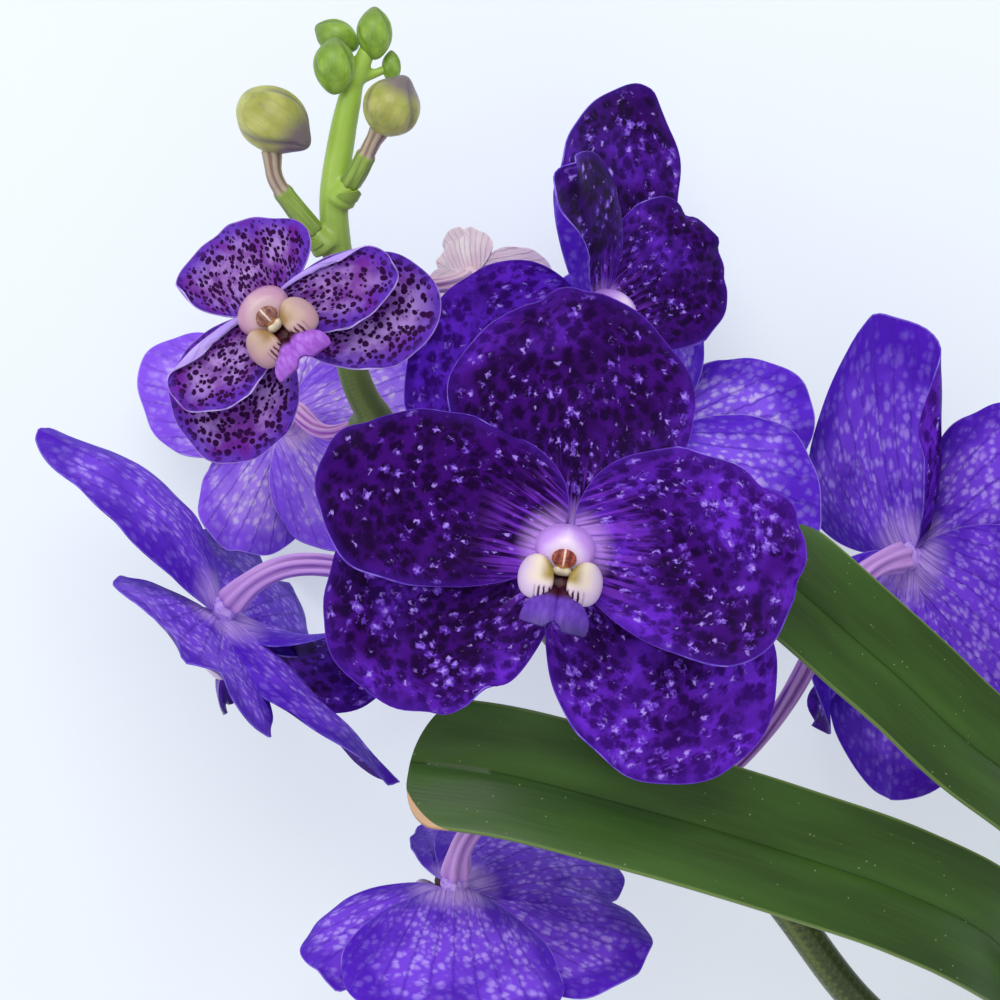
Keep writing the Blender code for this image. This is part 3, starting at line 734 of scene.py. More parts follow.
# %% Petals
FINISHES = dict(
    ripe=(VIOLET_FACE, VIOLET_BACK, VIOLET_RIM),
    fresh=(VIOLET_FACE, LAVENDER_BACK, VIOLET_RIM),
    clear=(VIOLET_FACE, CLEAR_BACK, VIOLET_RIM),
    young=(SPOTTED_FACE, LILAC_BACK, LILAC_RIM),
    pale=(SPOTTED_FACE, BLUSH_BACK, BLUSH_RIM),
)
COLUMNS = 44
ROWS = 46
FAN_PIVOT = 22  # how far behind the heart the veins would meet, in mm on a full-grown bloom
FAN_SPREAD = 46  # mm across the pattern for each radian of the fan
FAN_STEP = 17.3  # takes each petal to a stretch of the pattern of its own
THIN_MARGIN = 4.0  # mm over which a blade thins to its edge


def margin_distance(flat, across, along):
    """How far each point of the flat petal is from its margin, in mm."""
    border = (np.abs(across) > 0.999) | (along > 0.999)
    tree = KDTree(int(border.sum()))
    for index, point in enumerate(flat[border]):
        tree.insert((*point, 0), index)
    tree.balance()
    return np.array([tree.find((*point, 0))[2] for point in flat])


def make_blade(name, shape, size, seed, finishes):
    blade, across, along = grid(name, COLUMNS, ROWS)
    points, flat = petal_points(shape, across, along, seed)
    flat = flat * size
    margin = margin_distance(flat, across, along)
    pivot = FAN_PIVOT * size
    angle = np.arctan2(flat[:, 0], flat[:, 1] + pivot)
    reach = np.hypot(flat[:, 0], flat[:, 1])
    lay_points(blade, points * size * MM)
    own = np.full(len(flat), FAN_STEP * seed)
    note(blade, "fan", np.stack((angle * FAN_SPREAD, reach + pivot, own), axis=1))
    note(blade, "zone", np.stack((np.full(len(flat), shape["depth"]), reach / size, margin), axis=1))
    group = blade.vertex_groups.new(name="thick")
    for index, thick in enumerate(0.4 + 0.6 * smooth(margin / THIN_MARGIN)):
        group.add([index], float(thick), "REPLACE")
    dress(blade, *finishes)
    apply_modifier(
        blade, "SOLIDIFY", thickness=PETAL_THICKNESS * MM, offset=0, vertex_group="thick",
        material_offset=1, material_offset_rim=2,
    )
    blade.vertex_groups.clear()
    blade.data.transform(petal_frame(shape, size))
    return blade


HUB_ZONE = (0.0, 1.0, 9.0)  # no painted shade of its own, near the heart, far from any margin


def make_hub(name, facts, finishes):
    """The small cushion that the five claws grow from."""
    bpy.ops.mesh.primitive_uv_sphere_add(segments=30, ring_count=14, radius=1)
    hub = name_piece(name)
    points = points_of(hub)
    angle = np.arctan2(points[:, 0], points[:, 1])
    lobed = 1 + 0.07 * np.cos(5 * angle) * (1 - np.abs(points[:, 2]))
    middle = (HUB_FRONT - HUB_BACK) / 2
    points = points * np.array((HUB_RADIUS, HUB_RADIUS, (HUB_FRONT + HUB_BACK) / 2))
    points[:, :2] *= lobed[:, None]
    points[:, 2] += middle
    note(hub, "fan", points)
    note(hub, "zone", np.tile(HUB_ZONE, (len(points), 1)))
    lay_points(hub, points * MM)
    hub.data.transform(heart_scale(facts))
    dress(hub, *finishes)
    for face in hub.data.polygons:
        face.material_index = 1
    return hub


for number, (name, facts) in enumerate(BLOOMS.items()):
    finishes = FINISHES[facts["age"]]
    blades = [
        make_blade(f"{name}_{part}", shape, facts["size"], 1.0 + number * 5 + index, finishes)
        for index, (part, shape) in enumerate(facts["petals"].items())
    ]
    petals = join(f"{name}_bloom_petals", [*blades, make_hub(name + "_hub", facts, finishes)])
    petals.data.transform(bloom_frame(facts))
    smooth_faces(petals)
    settle(petals, "petal", f"bloom_{name}_petals")
    print(petals.name, count(petals), "triangles")

# %% [markdown]
# ## The heart: column and cap
#
# At the heart of the bloom stamen and pistil are one stubby body, the column. It is a pale, rounded hood,
# and near its tip sits a small russet cap, split by a pale keel, over the pollen. Below the cap a small
# cream scoop, the rostellum, stands out. A UV sphere is the start of all three. Its points are pulled into
# the form, such as the hood with its hollow for the cap, because a hand would sculpt this with a grab brush
# rather than build it from extrusions.


# %% Finishes of the column
def column_finish(name, light, blush, base):
    recipe = Recipe(name, 0.38, Specular_IOR_Level=0.45)
    place = recipe.read("place")
    x, y, z = recipe.split(place)
    veins = recipe.noise(recipe.stretch(place, (2.2, 0.5, 0.5)), 1.0, 3.0)
    outward = recipe.maths("ADD", recipe.maths("ABSOLUTE", x), recipe.maths("MAXIMUM", y, 0.0))
    colour = recipe.mix(recipe.ramp(recipe.maths("ADD", outward, veins), 2.0, 6.6), light, blush)
    colour = recipe.mix(recipe.ramp(recipe.maths("ADD", z, veins), 3.4, 7.6, 1.0, 0.0), colour, base)
    recipe.relief(veins, 0.08)
    return recipe.paint(colour)


def cap_finish(name, russet, pit, keel):
    recipe = Recipe(name, 0.35)
    place = recipe.read("place")
    x, y, _ = recipe.split(place)
    grain = recipe.noise(place, 2.2, 3.0)
    colour = recipe.mix(recipe.ramp(grain, 0.35, 0.7), russet, pit)
    across = recipe.maths("ABSOLUTE", x)
    colour = recipe.mix(recipe.band(across, 1.25, 0.75), colour, pit)
    colour = recipe.mix(recipe.ramp(across, 0.10, 0.34, 0.9, 0.0), colour, keel)
    colour = recipe.mix(recipe.ramp(y, -4.1, -3.4, 0.8, 0.0), colour, shade("d89a60"))
    return recipe.paint(colour)


def rostellum_finish(name):
    recipe = Recipe(name, 0.35)
    grain = recipe.noise(recipe.read("place"), 1.4, 2.0)
    return recipe.paint(recipe.mix(grain, shade("d8c098"), shade("f2e8d8")))


COLUMN_FINISH = column_finish("column blush", shade("f0dcf8"), shade("c492ee"), shade("9450d8"))
YOUNG_COLUMN = column_finish("young column blush", shade("d2b4ba"), shade("c08eae"), shade("a05c98"))
CAP_FINISH = cap_finish("cap russet", shade("bc5e44"), shade("6e1a18"), shade("f0d8cc"))
YOUNG_CAP = cap_finish("young cap", shade("ac7a6c"), shade("744038"), shade("e8d4cc"))
ROSTELLUM_FINISH = rostellum_finish("rostellum cream")
print("column finishes ready")


# %% Column
def sphere_part(name, centre, radii, segments, rings, form=None, turn=None):
    """A UV sphere pulled into a form, in the bloom's own frame, which notes its places for its finish."""
    bpy.ops.mesh.primitive_uv_sphere_add(segments=segments, ring_count=rings, radius=1)
    part = name_piece(name)
    points = points_of(part)
    if form:
        points = form(points)
    points = points * np.array(radii)
    if turn is not None:
        points = points @ np.array(turn.to_3x3()).T
    points = points + np.array(centre)
    note(part, "place", points)
    lay_points(part, points * MM)
    return part


def column_form(points):
    """Widens the foot of the hood and sinks a hollow for the cap."""
    x, y, z = points.T
    foot = smooth((0.25 - z) / 1.1)
    wide = 1 + 0.12 * foot
    front = np.exp(-((x / 0.50) ** 2 + ((y + 0.42) / 0.46) ** 2)) * smooth((z - 0.2) / 0.4)
    brow = np.exp(-((x / 0.42) ** 2 + ((y - 0.28) / 0.3) ** 2)) * smooth(z)
    wings = np.exp(-(((np.abs(x) - 0.85) / 0.25) ** 2)) * smooth((-y) / 0.6)
    height = z - 0.34 * front + 0.05 * brow + 0.10 * wings * np.sign(z)
    return np.stack((x * wide, y * wide + 0.12 * foot, height), axis=1)


def cap_form(points):
    """Two hollows beside a keel."""
    x, y, z = points.T
    pits = np.exp(-(((np.abs(x) - 0.46) / 0.24) ** 2 + ((y - 0.05) / 0.46) ** 2)) * smooth(z * 2)
    keel = np.exp(-((x / 0.13) ** 2)) * smooth(z * 2) * smooth((y + 0.9) / 0.6)
    return np.stack((x * (1 - 0.18 * smooth(-y)), y, z - 0.42 * pits + 0.16 * keel), axis=1)


def rostellum_form(points):
    """A small scoop with a raised rim."""
    x, y, z = points.T
    return np.stack((x, y - 0.25 * x * x, z - 0.35 * np.exp(-((x / 0.5) ** 2)) * smooth(z)), axis=1)


for name, facts in BLOOMS.items():
    young = facts["age"] in ("young", "pale")
    hood = sphere_part(name + "_hood", (0, 0.0, HUB_FRONT + GAP + 4.5), (6.5, 5.0, 4.6), 44, 28, column_form)
    dress(hood, YOUNG_COLUMN if young else COLUMN_FINISH)
    cap = sphere_part(
        name + "_cap", (0, -2.2, 10.1), (2.7, 2.35, 1.35), 32, 20, cap_form,
        Matrix.Rotation(math.radians(16), 4, "X"),
    )
    dress(cap, YOUNG_CAP if young else CAP_FINISH)
    scoop = sphere_part(
        name + "_rostellum", (0, -4.7, 9.2), (2.2, 1.35, 1.25), 24, 14, rostellum_form,
        Matrix.Rotation(math.radians(28), 4, "X"),
    )
    dress(scoop, ROSTELLUM_FINISH)
    column = join(f"{name}_bloom_column", [hood, cap, scoop])
    column.data.transform(bloom_frame(facts) @ heart_scale(facts))
    smooth_faces(column)
    settle(column, "column", f"bloom_{name}_column")
print("columns:", len(BLOOMS), "of", count(column), "triangles")

# %% [markdown]
# ## The heart: lip
#
# The lip is the lowest of the six petals, and it is made quite differently: two round cream lobes stand
# beside a dark red throat, and a violet tongue with two blunt points reaches out below. The lobes are
# flattened spheres with a hollow towards the throat. The tongue is a grid laid on a drooping saddle with a
# groove, then thickened.


# %% Finishes of the lip
def lobe_finish(name, cream, rim, olive, stripe):
    recipe = Recipe(name, 0.38, Specular_IOR_Level=0.45)
    place = recipe.read("place")
    x, y, _ = recipe.split(place)
    across = recipe.maths("ABSOLUTE", x)
    cloud = recipe.noise(place, 0.5, 2.0)
    out = recipe.ramp(recipe.maths("ADD", across, recipe.times(cloud, 1.4)), 5.6, 9.6)
    colour = recipe.mix(out, cream, rim)
    low = recipe.ramp(y, -9.4, -6.9, 1.0, 0.0)
    colour = recipe.mix(recipe.times(low, 0.8), colour, rim)
    inside = recipe.ramp(across, 2.6, 5.4, 1.0, 0.0)
    colour = recipe.mix(recipe.times(inside, recipe.ramp(y, -8.2, -6.0)), colour, olive)
    lines = recipe.ramp(recipe.maths("SINE", recipe.times(recipe.maths("ADD", across, cloud), 5.6)), 0.0, 0.5)
    deep = recipe.times(recipe.ramp(across, 4.2, 6.2, 1.0, 0.0), recipe.ramp(y, -9.2, -8.2, 1.0, 0.0))
    colour = recipe.mix(recipe.times(lines, deep), colour, stripe)
    recipe.relief(cloud, 0.06)
    return recipe.paint(colour)


def throat_finish(name):
    recipe = Recipe(name, 0.5)
    place = recipe.read("place")
    grain = recipe.noise(recipe.stretch(place, (1.5, 0.4, 0.4)), 1.0, 3.0)
    return recipe.paint(recipe.mix(recipe.ramp(grain, 0.35, 0.7), shade("2a0618"), shade("6a1626")))


def tongue_finish(name, top, glow, dusk):
    recipe = Recipe(name, 0.42, Specular_IOR_Level=0.4)
    place = recipe.read("place")
    x, y, _ = recipe.split(place)
    grain = recipe.noise(recipe.stretch(place, (1.3, 0.35, 0.35)), 1.0, 3.0)
    colour = recipe.mix(recipe.ramp(grain, 0.35, 0.65), top, glow)
    colour = recipe.mix(recipe.ramp(y, -18.5, -13.5, 0.85, 0.0), colour, dusk)
    colour = recipe.mix(recipe.ramp(y, -11.6, -10.2), colour, shade("3c0a26"))
    colour = recipe.mix(recipe.ramp(recipe.maths("ABSOLUTE", x), 0.05, 0.45, 0.6, 0.0), colour, dusk)
    recipe.relief(grain, 0.12)
    return recipe.paint(colour)


RIPE_LIP = (
    lobe_finish("lobe cream", shade("ead9c8"), shade("d4bce2"), shade("9c8438"), shade("380618")),
    throat_finish("throat red"),
    tongue_finish("tongue violet", shade("5a2ca8"), shade("6a3cbc"), shade("382a68")),
)
YOUNG_LIP = (
    lobe_finish("young lobe cream", shade("c4a694"), shade("b8909c"), shade("94703c"), shade("4a0c24")),
    RIPE_LIP[1],
    tongue_finish("young tongue magenta", shade("9a4cc8"), shade("b070e0"), shade("7a34a4")),
)
print("lip finishes ready")


# %% Lip
def lobe_form(points):
    """Sinks a hollow on the side towards the throat, and widens the lower end."""
    x, y, z = points.T
    hollow = np.exp(-(((x + 0.2) / 0.6) ** 2 + ((y - 0.05) / 0.6) ** 2)) * smooth(z * 1.5)
    return np.stack((x * (1 + 0.08 * smooth(-y)), y - 0.05 * x * x, z - 0.30 * hollow), axis=1)


def make_lobe(name, side):
    mirror = np.array((side, 1, 1))

    def form(points):
        return lobe_form(points * mirror) * mirror

    turn = Matrix.Rotation(math.radians(side * 32), 4, "Y") @ Matrix.Rotation(math.radians(side * -8), 4, "Z")
    return sphere_part(name, (side * 5.4, -6.9, 9.4), (4.4, 4.9, 2.2), 32, 20, form, turn)


def make_tongue(name):
    """A smooth drooping tongue, narrow at the throat, with a groove down its middle and two blunt points."""
    tongue, across, along = grid(name, 40, 36)
    end = 1 - 0.15 * np.exp(-((across / 0.20) ** 2)) - 0.10 * np.abs(across) ** 3 + 0.05 * across
    reach = along * (1 + (end - 1) * smooth((along - 0.3) / 0.7))
    half = 3.4 + 3.7 * smooth(reach * 1.25) - 0.7 * smooth((reach - 0.85) / 0.15)
    y = -9.2 - 1.8 * reach - 6.4 * reach**2
    z = 7.0 + 12.6 * reach - 2.6 * reach**2
    way_y, way_z = -1.8 - 12.8 * reach, 12.6 - 5.2 * reach
    far = np.hypot(way_y, way_z)
    droop = -2.4 * across**2 * (0.4 + 0.6 * reach)
    groove = -0.8 * np.exp(-((across / 0.10) ** 2)) * smooth(reach * 4)
    swell = 0.8 * np.exp(-(((np.abs(across) - 0.34) / 0.22) ** 2)) * smooth((0.95 - reach) / 0.6)
    ruffle = 0.15 * np.sin(9 * across + 2.0) * smooth((reach - 0.7) / 0.3)
    lift = droop + groove + swell + ruffle
    points = np.stack((across * half, y + lift * way_z / far, z - lift * way_y / far), axis=1)
    note(tongue, "place", points)
    lay_points(tongue, points * MM)
    return apply_modifier(tongue, "SOLIDIFY", thickness=0.75 * MM, offset=-1)


for name, facts in BLOOMS.items():
    lobe_paint, throat_paint, tongue_paint = YOUNG_LIP if facts["age"] in ("young", "pale") else RIPE_LIP
    lobes = [dress(make_lobe(f"{name}_lobe_{side}", side), lobe_paint) for side in (-1, 1)]
    throat = sphere_part(name + "_throat", (0, -8.6, 5.9), (4.4, 3.6, 2.6), 28, 18)
    dress(throat, throat_paint)
    tongue = dress(make_tongue(name + "_tongue"), tongue_paint)
    lip = join(f"{name}_bloom_lip", [*lobes, throat, tongue])
    lip.data.transform(bloom_frame(facts) @ heart_scale(facts))
    smooth_faces(lip)
    settle(lip, "lip", f"bloom_{name}_lip")
print("lips:", len(BLOOMS), "of", count(lip), "triangles")

# %% [markdown]
# ## Stalks
#
# Every bloom stands on its own pink stalk, which is also its ovary, with six ribs that turn slowly round
# it. A round bevelled curve can't have ribs, so a grid is rolled round the path instead: its sides meet and
# are merged, and each end narrows to a point, which closes it. The cross-section is carried along the path
# without any twist of its own, and then the ribs are let turn as far as they do on the plant.

# %% Paths
STALK = [
    ((120.25, -152.5, 9), 4.2), ((110, -144, 15), 4.2), ((94, -129, 24), 4.2), ((72, -109, 36), 4.2),
    ((53, -84, 44), 4.1), ((31, -58, 50), 4.1), ((12, -35, 54), 4.0), ((-7, -12, 56), 4.0),
    ((-26, 11, 57), 3.9), ((-41, 28, 58), 3.8), ((-48, 40, 60), 3.7), ((-50.5, 54, 62), 3.6),
    ((-52, 68, 64), 3.5), ((-53, 82, 66), 3.4), ((-51, 96, 68), 3.2), ((-49, 105, 70), 2.8),
    ((-47, 112, 71), 1.6),
]
STALK_KNOTS = [Vector(point) for point, _ in STALK]
SEAT_LENGTH = 3.0
SEAT_RADIUS = 2.6
BLOOM_STALK_RADIUS = 2.0


def on_curve(knots, share):
    """Point and direction at a share of the way along a smooth curve through knots."""
    last = len(knots) - 1
    place = min(max(share, 0.0), 1.0) * last
    index = min(int(place), last - 1)
    t = place - index
    p1, p2 = knots[index], knots[index + 1]
    p0 = knots[index - 1] if index else p1 * 2 - p2
    p3 = knots[index + 2] if index + 2 <= last else p2 * 2 - p1
    one, two, three = p2 - p0, 2 * p0 - 5 * p1 + 4 * p2 - p3, 3 * p1 - p0 - 3 * p2 + p3
    point = 0.5 * (2 * p1 + one * t + two * t * t + three * t**3)
    way = 0.5 * (one + 2 * two * t + 3 * three * t * t)
    return point, way.normalized()


def stalk_radius(share):
    return float(np.interp(share * (len(STALK) - 1), range(len(STALK)), [radius for _, radius in STALK]))


def stalk_seat(share, side):
    """Foot on the flower stalk's axis, top and direction of a seat."""
    point, way = on_curve(STALK_KNOTS, share)
    out = Vector(side)
    out = (out - way * out.dot(way) * 0.8).normalized()
    radius = STALK[round(share * (len(STALK) - 1))][1]
    return point, point + out * (radius + SEAT_LENGTH), out


def arc(start, start_way, end, end_way, steps):
    """Points on a smooth curve that leaves start along start_way and comes to end along end_way."""
    one, two = start + start_way, end - end_way
    path = []
    for step in range(steps):
        t = step / (steps - 1)
        path.append(start * (1 - t)**3 + one * 3 * t * (1 - t)**2 + two * 3 * t * t * (1 - t) + end * t**3)
    return path


def length_of(knots):
    return sum((b - a).length for a, b in zip(knots, knots[1:]))


print("the flower stalk is", round(length_of(STALK_KNOTS)), "mm long")


# %% Rolling a grid round a path
def roll_tube(name, path, radii, around=24, ribs=0, rib=0.0, turns=0.0, bulge=0.6):
    """A closed stalk on a path in metres, with radii in mm, rounded ends and ribs that turn round it."""
    ways = [(path[min(i + 1, len(path) - 1)] - path[max(i - 1, 0)]).normalized() for i in range(len(path))]
    sides = [ways[0].orthogonal().normalized()]
    for way in ways[1:]:
        sides.append((sides[-1] - way * sides[-1].dot(way)).normalized())
    rounding = [math.pi / 2 * step / 5 for step in range(5)]
    rings = [(0, -math.cos(a) * radii[0] * bulge, radii[0] * math.sin(a)) for a in rounding]
    rings += [(index, 0.0, radius) for index, radius in enumerate(radii)]
    last = len(path) - 1
    rings += [(last, math.cos(a) * radii[-1] * bulge, radii[-1] * math.sin(a)) for a in reversed(rounding)]
    tube, across, along = grid(name, around, len(rings) - 1)
    points, grains, ribbing, shares = [], [], [], []
    lengths = np.cumsum([0] + [(b - a).length for a, b in zip(path, path[1:])]) / MM
    for turn, place in zip((across + 1) * math.pi, np.rint(along * (len(rings) - 1)).astype(int)):
        index, shift, radius = rings[place]
        share = index / last
        wave = math.cos(ribs * (turn + turns * 2 * math.pi * share)) if ribs else 0.0
        wide = radius * (1 + rib * wave)
        other = ways[index].cross(sides[index])
        a, b = math.cos(turn) * wide, math.sin(turn) * wide
        points.append(path[index] + (sides[index] * a + other * b + ways[index] * shift) * MM)
        grains.append((a, b, lengths[index] + shift))
        ribbing.append(wave)
        shares.append(share)
    lay_points(tube, [tuple(point) for point in points])
    note(tube, "grain", grains)
    note(tube, "rib", ribbing)
    note(tube, "share", shares)
    return close_up(tube)


print("tubes can be rolled")


# %% Finish of the bloom stalks
def bloom_stalk_finish(name, ridge, furrow, pale):
    recipe = Recipe(name, 0.42, Specular_IOR_Level=0.4)
    grain = recipe.read("grain")
    streaks = recipe.noise(recipe.stretch(grain, (1.2, 1.2, 0.08)), 1.0, 3.0)
    rib = recipe.maths("ADD", recipe.read_number("rib"), recipe.ramp(streaks, 0.3, 0.7, -0.5, 0.5))
    colour = recipe.mix(recipe.ramp(rib, -0.9, 0.5), furrow, ridge)
    colour = recipe.mix(recipe.times(recipe.ramp(recipe.read_number("share"), 0.45, 1.0), 0.7), colour, pale)
    recipe.relief(streaks, 0.12)
    return recipe.paint(colour)


RIPE_STALK = bloom_stalk_finish("bloom stalk pink", shade("cf9ae4"), shade("7a3aa4"), shade("dcaeea"))
FRESH_STALK = bloom_stalk_finish("fresh bloom stalk pink", shade("d8a0d8"), shade("a04cb0"), shade("efc8e4"))
BLUSH_STALK = bloom_stalk_finish("blush bloom stalk", shade("dcb4c4"), shade("a8688c"), shade("ecd4d8"))
STALK_FINISHES = dict(fresh=FRESH_STALK, pale=BLUSH_STALK, young=BLUSH_STALK)
print("bloom stalk finishes ready")

# %% Bloom stalks
for name, facts in BLOOMS.items():
    _, top, out = stalk_seat(facts["root"], facts["side"])
    place = bloom_frame(facts)
    facing = place.to_3x3() @ Vector((0, 0, 1))
    start = at(top) + out * GAP * MM
    end = place @ (heart_scale(facts) @ Vector((0, 0, -HUB_BACK * MM)) - Vector((0, 0, GAP * MM)))
    length = (end - start).length
    leaves_by = out * facts["reach"][0] * length
    comes_by = facing * facts["reach"][1] * length
    path = [start, *arc(start + out * MM, leaves_by, end - facing * MM, comes_by, 44), end]
    thick = BLOOM_STALK_RADIUS * (0.5 + 0.5 * facts["size"])
    shares = np.linspace(0, 1, len(path))
    radii = thick * (1 + 0.28 * smooth(shares) + 0.42 * np.exp(-(((1 - shares) / 0.07) ** 2)))
    stalk = roll_tube(f"{name}_bloom_stalk", path, radii, around=48, ribs=6, rib=0.17, turns=0.16)
    dress(stalk, STALK_FINISHES.get(facts["age"], RIPE_STALK))
    smooth_faces(stalk)
    settle(stalk, "bloom_stalk", f"bloom_{name}_stalk")
print("bloom stalks:", len(BLOOMS), "of", count(stalk), "triangles")

# %% [markdown]
# ## The flower stalk
#
# The flower stalk is one smooth green rod with a short swollen seat under every bloom and bud. Rod and seats
# are rolled as tubes, joined, and remeshed into one skin whose corners a smoothing pass rounds off, which
# looks grown where a plain union looks glued. A small bract hugs the seat of each bloom and of each large
# bud, as a thin pointed scale.


# %% Finish of the flower stalk
def green_stalk_finish(name, foot, middle, tip):
    recipe = Recipe(name, 0.36, Specular_IOR_Level=0.5)
    grain = recipe.read("grain")
    share = recipe.read_number("share")
    streaks = recipe.noise(recipe.stretch(grain, (0.5, 0.5, 0.02)), 1.0, 2.0)
    colour = recipe.mix(recipe.ramp(share, 0.30, 0.72), foot, middle)
    colour = recipe.mix(recipe.ramp(share, 0.70, 0.86), colour, tip)
    colour = recipe.mix(recipe.ramp(streaks, 0.38, 0.66, 0.0, 0.22), colour, shade("b4c860"))
    recipe.relief(streaks, 0.04)
    return recipe.paint(colour)


GREEN_STALK = green_stalk_finish("flower stalk green", shade("364620"), shade("6f8e2c"), shade("a2c64c"))
print("finish:", GREEN_STALK.name)

# %% Buds' facts
BUDS = {
    "bud_left": dict(
        centre=(-66.5, 99.5, 75), radii=(7.4, 8.7, 7.2), tip=(0.8, -0.6, 0.1),
        stalk_knots=[(-57.5, 74.5, 67.5), (-62, 80, 70), (-66, 86, 72.5), (-66.8, 92.2, 74.2)],
    ),
    "bud_right": dict(
        centre=(-39.0, 102.0, 78), radii=(6.6, 6.5, 6.5), tip=(0.4, 0.8, 0.2),
        stalk_knots=[(-49, 85.5, 69.5), (-46.5, 89, 72), (-44, 93.5, 74.5), (-42, 96.8, 76)],
    ),
    "bud_top_left": dict(centre=(-52.3, 112, 75), radii=(4.8, 5.8, 4.6), tip=(0, 1, 0)),
    "bud_top_middle": dict(centre=(-52.2, 119.6, 68.6), radii=(3.9, 4.9, 4.0), tip=(-1, 0.5, 0)),
    "bud_top_right": dict(centre=(-43.2, 120, 72), radii=(4.1, 5.4, 4.1), tip=(0, 1, 0)),
    "bud_top_small": dict(centre=(-39.4, 112.6, 69), radii=(2.2, 3.4, 2.2), tip=(0, 1, 0)),
}


def bud_turn(facts):
    return Vector(facts["tip"]).to_track_quat("Y", "Z").to_matrix()


print("buds:", ", ".join(BUDS))


# %% Rod and seats
def seat_tube(name, foot, top, wide, narrow):
    steps = 10
    path = [at(Vector(foot).lerp(Vector(top), step / steps)) for step in range(steps + 1)]
    radii = [narrow + (wide - narrow) * (1 - smooth(step / steps)) for step in range(steps + 1)]
    return roll_tube(name, path, radii, around=20, bulge=0.1)


SAMPLES = 220
SWELLING = 0.09  # how much thicker the rod is where a bloom sits
SWELLING_SPREAD = 0.012  # shares of the rod's length
CLUSTER_SHARE = 0.97  # where the seats of the buds at the tip leave the rod
SUNK = 0.9  # how far those seats reach into their buds, in mm
rod_path, rod_radii = [], []
for sample in range(SAMPLES + 1):
    share = sample / SAMPLES
    swelling = sum(
        SWELLING * math.exp(-(((share - facts["root"]) / SWELLING_SPREAD) ** 2)) for facts in BLOOMS.values()
    )
    rod_path.append(at(on_curve(STALK_KNOTS, share)[0]))
    rod_radii.append(stalk_radius(share) * (1 + swelling))
parts = [roll_tube("rod", rod_path, rod_radii, around=32, bulge=0.35)]
BRACTS = []
for name, facts in BLOOMS.items():
    foot, top, out = stalk_seat(facts["root"], facts["side"])
    parts.append(seat_tube(name + "_seat", foot, top, SEAT_RADIUS * 1.7, SEAT_RADIUS * 1.02))
    BRACTS.append((foot, out, on_curve(STALK_KNOTS, facts["root"])[1], 4.4))
for name, facts in BUDS.items():
    if "stalk_knots" in facts:
        top, second = (Vector(knot) for knot in facts["stalk_knots"][:2])
        way = (second - top).normalized()
        parts.append(seat_tube(name + "_seat", top - way * 5, top, SEAT_RADIUS * 1.5, SEAT_RADIUS * 0.92))
        BRACTS.append((top - way * 5, way, Vector((0, 1, 0)), 3.6))
    else:
        foot, _ = on_curve(STALK_KNOTS, CLUSTER_SHARE)
        centre = Vector(facts["centre"])
        way = (centre - foot).normalized()
        inward = bud_turn(facts).inverted() @ way
        depth = 1 / Vector(inward[axis] / facts["radii"][axis] for axis in range(3)).length
        wide = min(facts["radii"]) * 0.56
        parts.append(seat_tube(name + "_seat", foot, centre - way * (depth - SUNK), wide, wide * 0.9))
flower_stalk = join("green_flower_stalk", parts)
apply_modifier(flower_stalk, "REMESH", mode="VOXEL", voxel_size=0.55 * MM)
apply_modifier(flower_stalk, "SMOOTH", factor=0.5, iterations=8)
print("rod and seats:", count(flower_stalk), "triangles")


# %% Notes for the finish, and bracts
def note_along(obj, path):
    """Notes each point's place round and along the path, after a remesh has dropped the first notes."""
    tree = KDTree(len(path))
    for index, point in enumerate(path):
        tree.insert(point, index)
    tree.balance()
    lengths = np.cumsum([0] + [(b - a).length for a, b in zip(path, path[1:])]) / MM
    grains, shares = [], []
    for point in points_of(obj):
        nearest, index, _ = tree.find(point)
        grains.append((*((Vector(point) - nearest) / MM).xy, lengths[index]))
        shares.append(index / (len(path) - 1))
    note(obj, "grain", grains)
    note(obj, "share", shares)


def make_bract(name, foot, out, way, size):
    """A thin pointed scale at the lower side of a seat."""
    scale, across, along = grid(name, 8, 10)
    side = out.cross(way).normalized()
    below = (-way + out * way.dot(out)).normalized()
    points = []
    for s, t in zip(across, along):
        turn = s * 1.15 * (1 - t**1.6)
        wide = SEAT_RADIUS * (1.32 - 0.10 * t) + 0.35
        ahead = 2.2 + size * t
        points.append(at(foot + out * ahead + (below * math.cos(turn) + side * math.sin(turn)) * wide))
    lay_points(scale, [tuple(point) for point in points])
    note(scale, "grain", np.stack((across, along * 4, along), axis=1))
    note(scale, "share", np.full(len(across), 0.78))
    apply_modifier(scale, "SOLIDIFY", thickness=0.45 * MM, offset=1)
    return close_up(scale)


note_along(flower_stalk, rod_path)
scales = [make_bract(f"bract_{index}", *facts) for index, facts in enumerate(BRACTS)]
flower_stalk = join("green_flower_stalk", [flower_stalk, *scales])
dress(flower_stalk, GREEN_STALK)
smooth_faces(flower_stalk)
settle(flower_stalk, "flower_stalk", "flower_stalk")
print("flower stalk with bracts:", count(flower_stalk), "triangles")

# %% [markdown]
# ## Buds
#
# A bud is a small balloon of three folded sepals. Their edges meet in seams that run to a beak. The two
# largest buds are yellow-green with a dusky blush, and stand on ribbed stalks that are green below and tan
# above. The four at the tip are still green. A UV sphere gives the balloon, and its points are pulled out
# at the beak and pressed in along the seams.


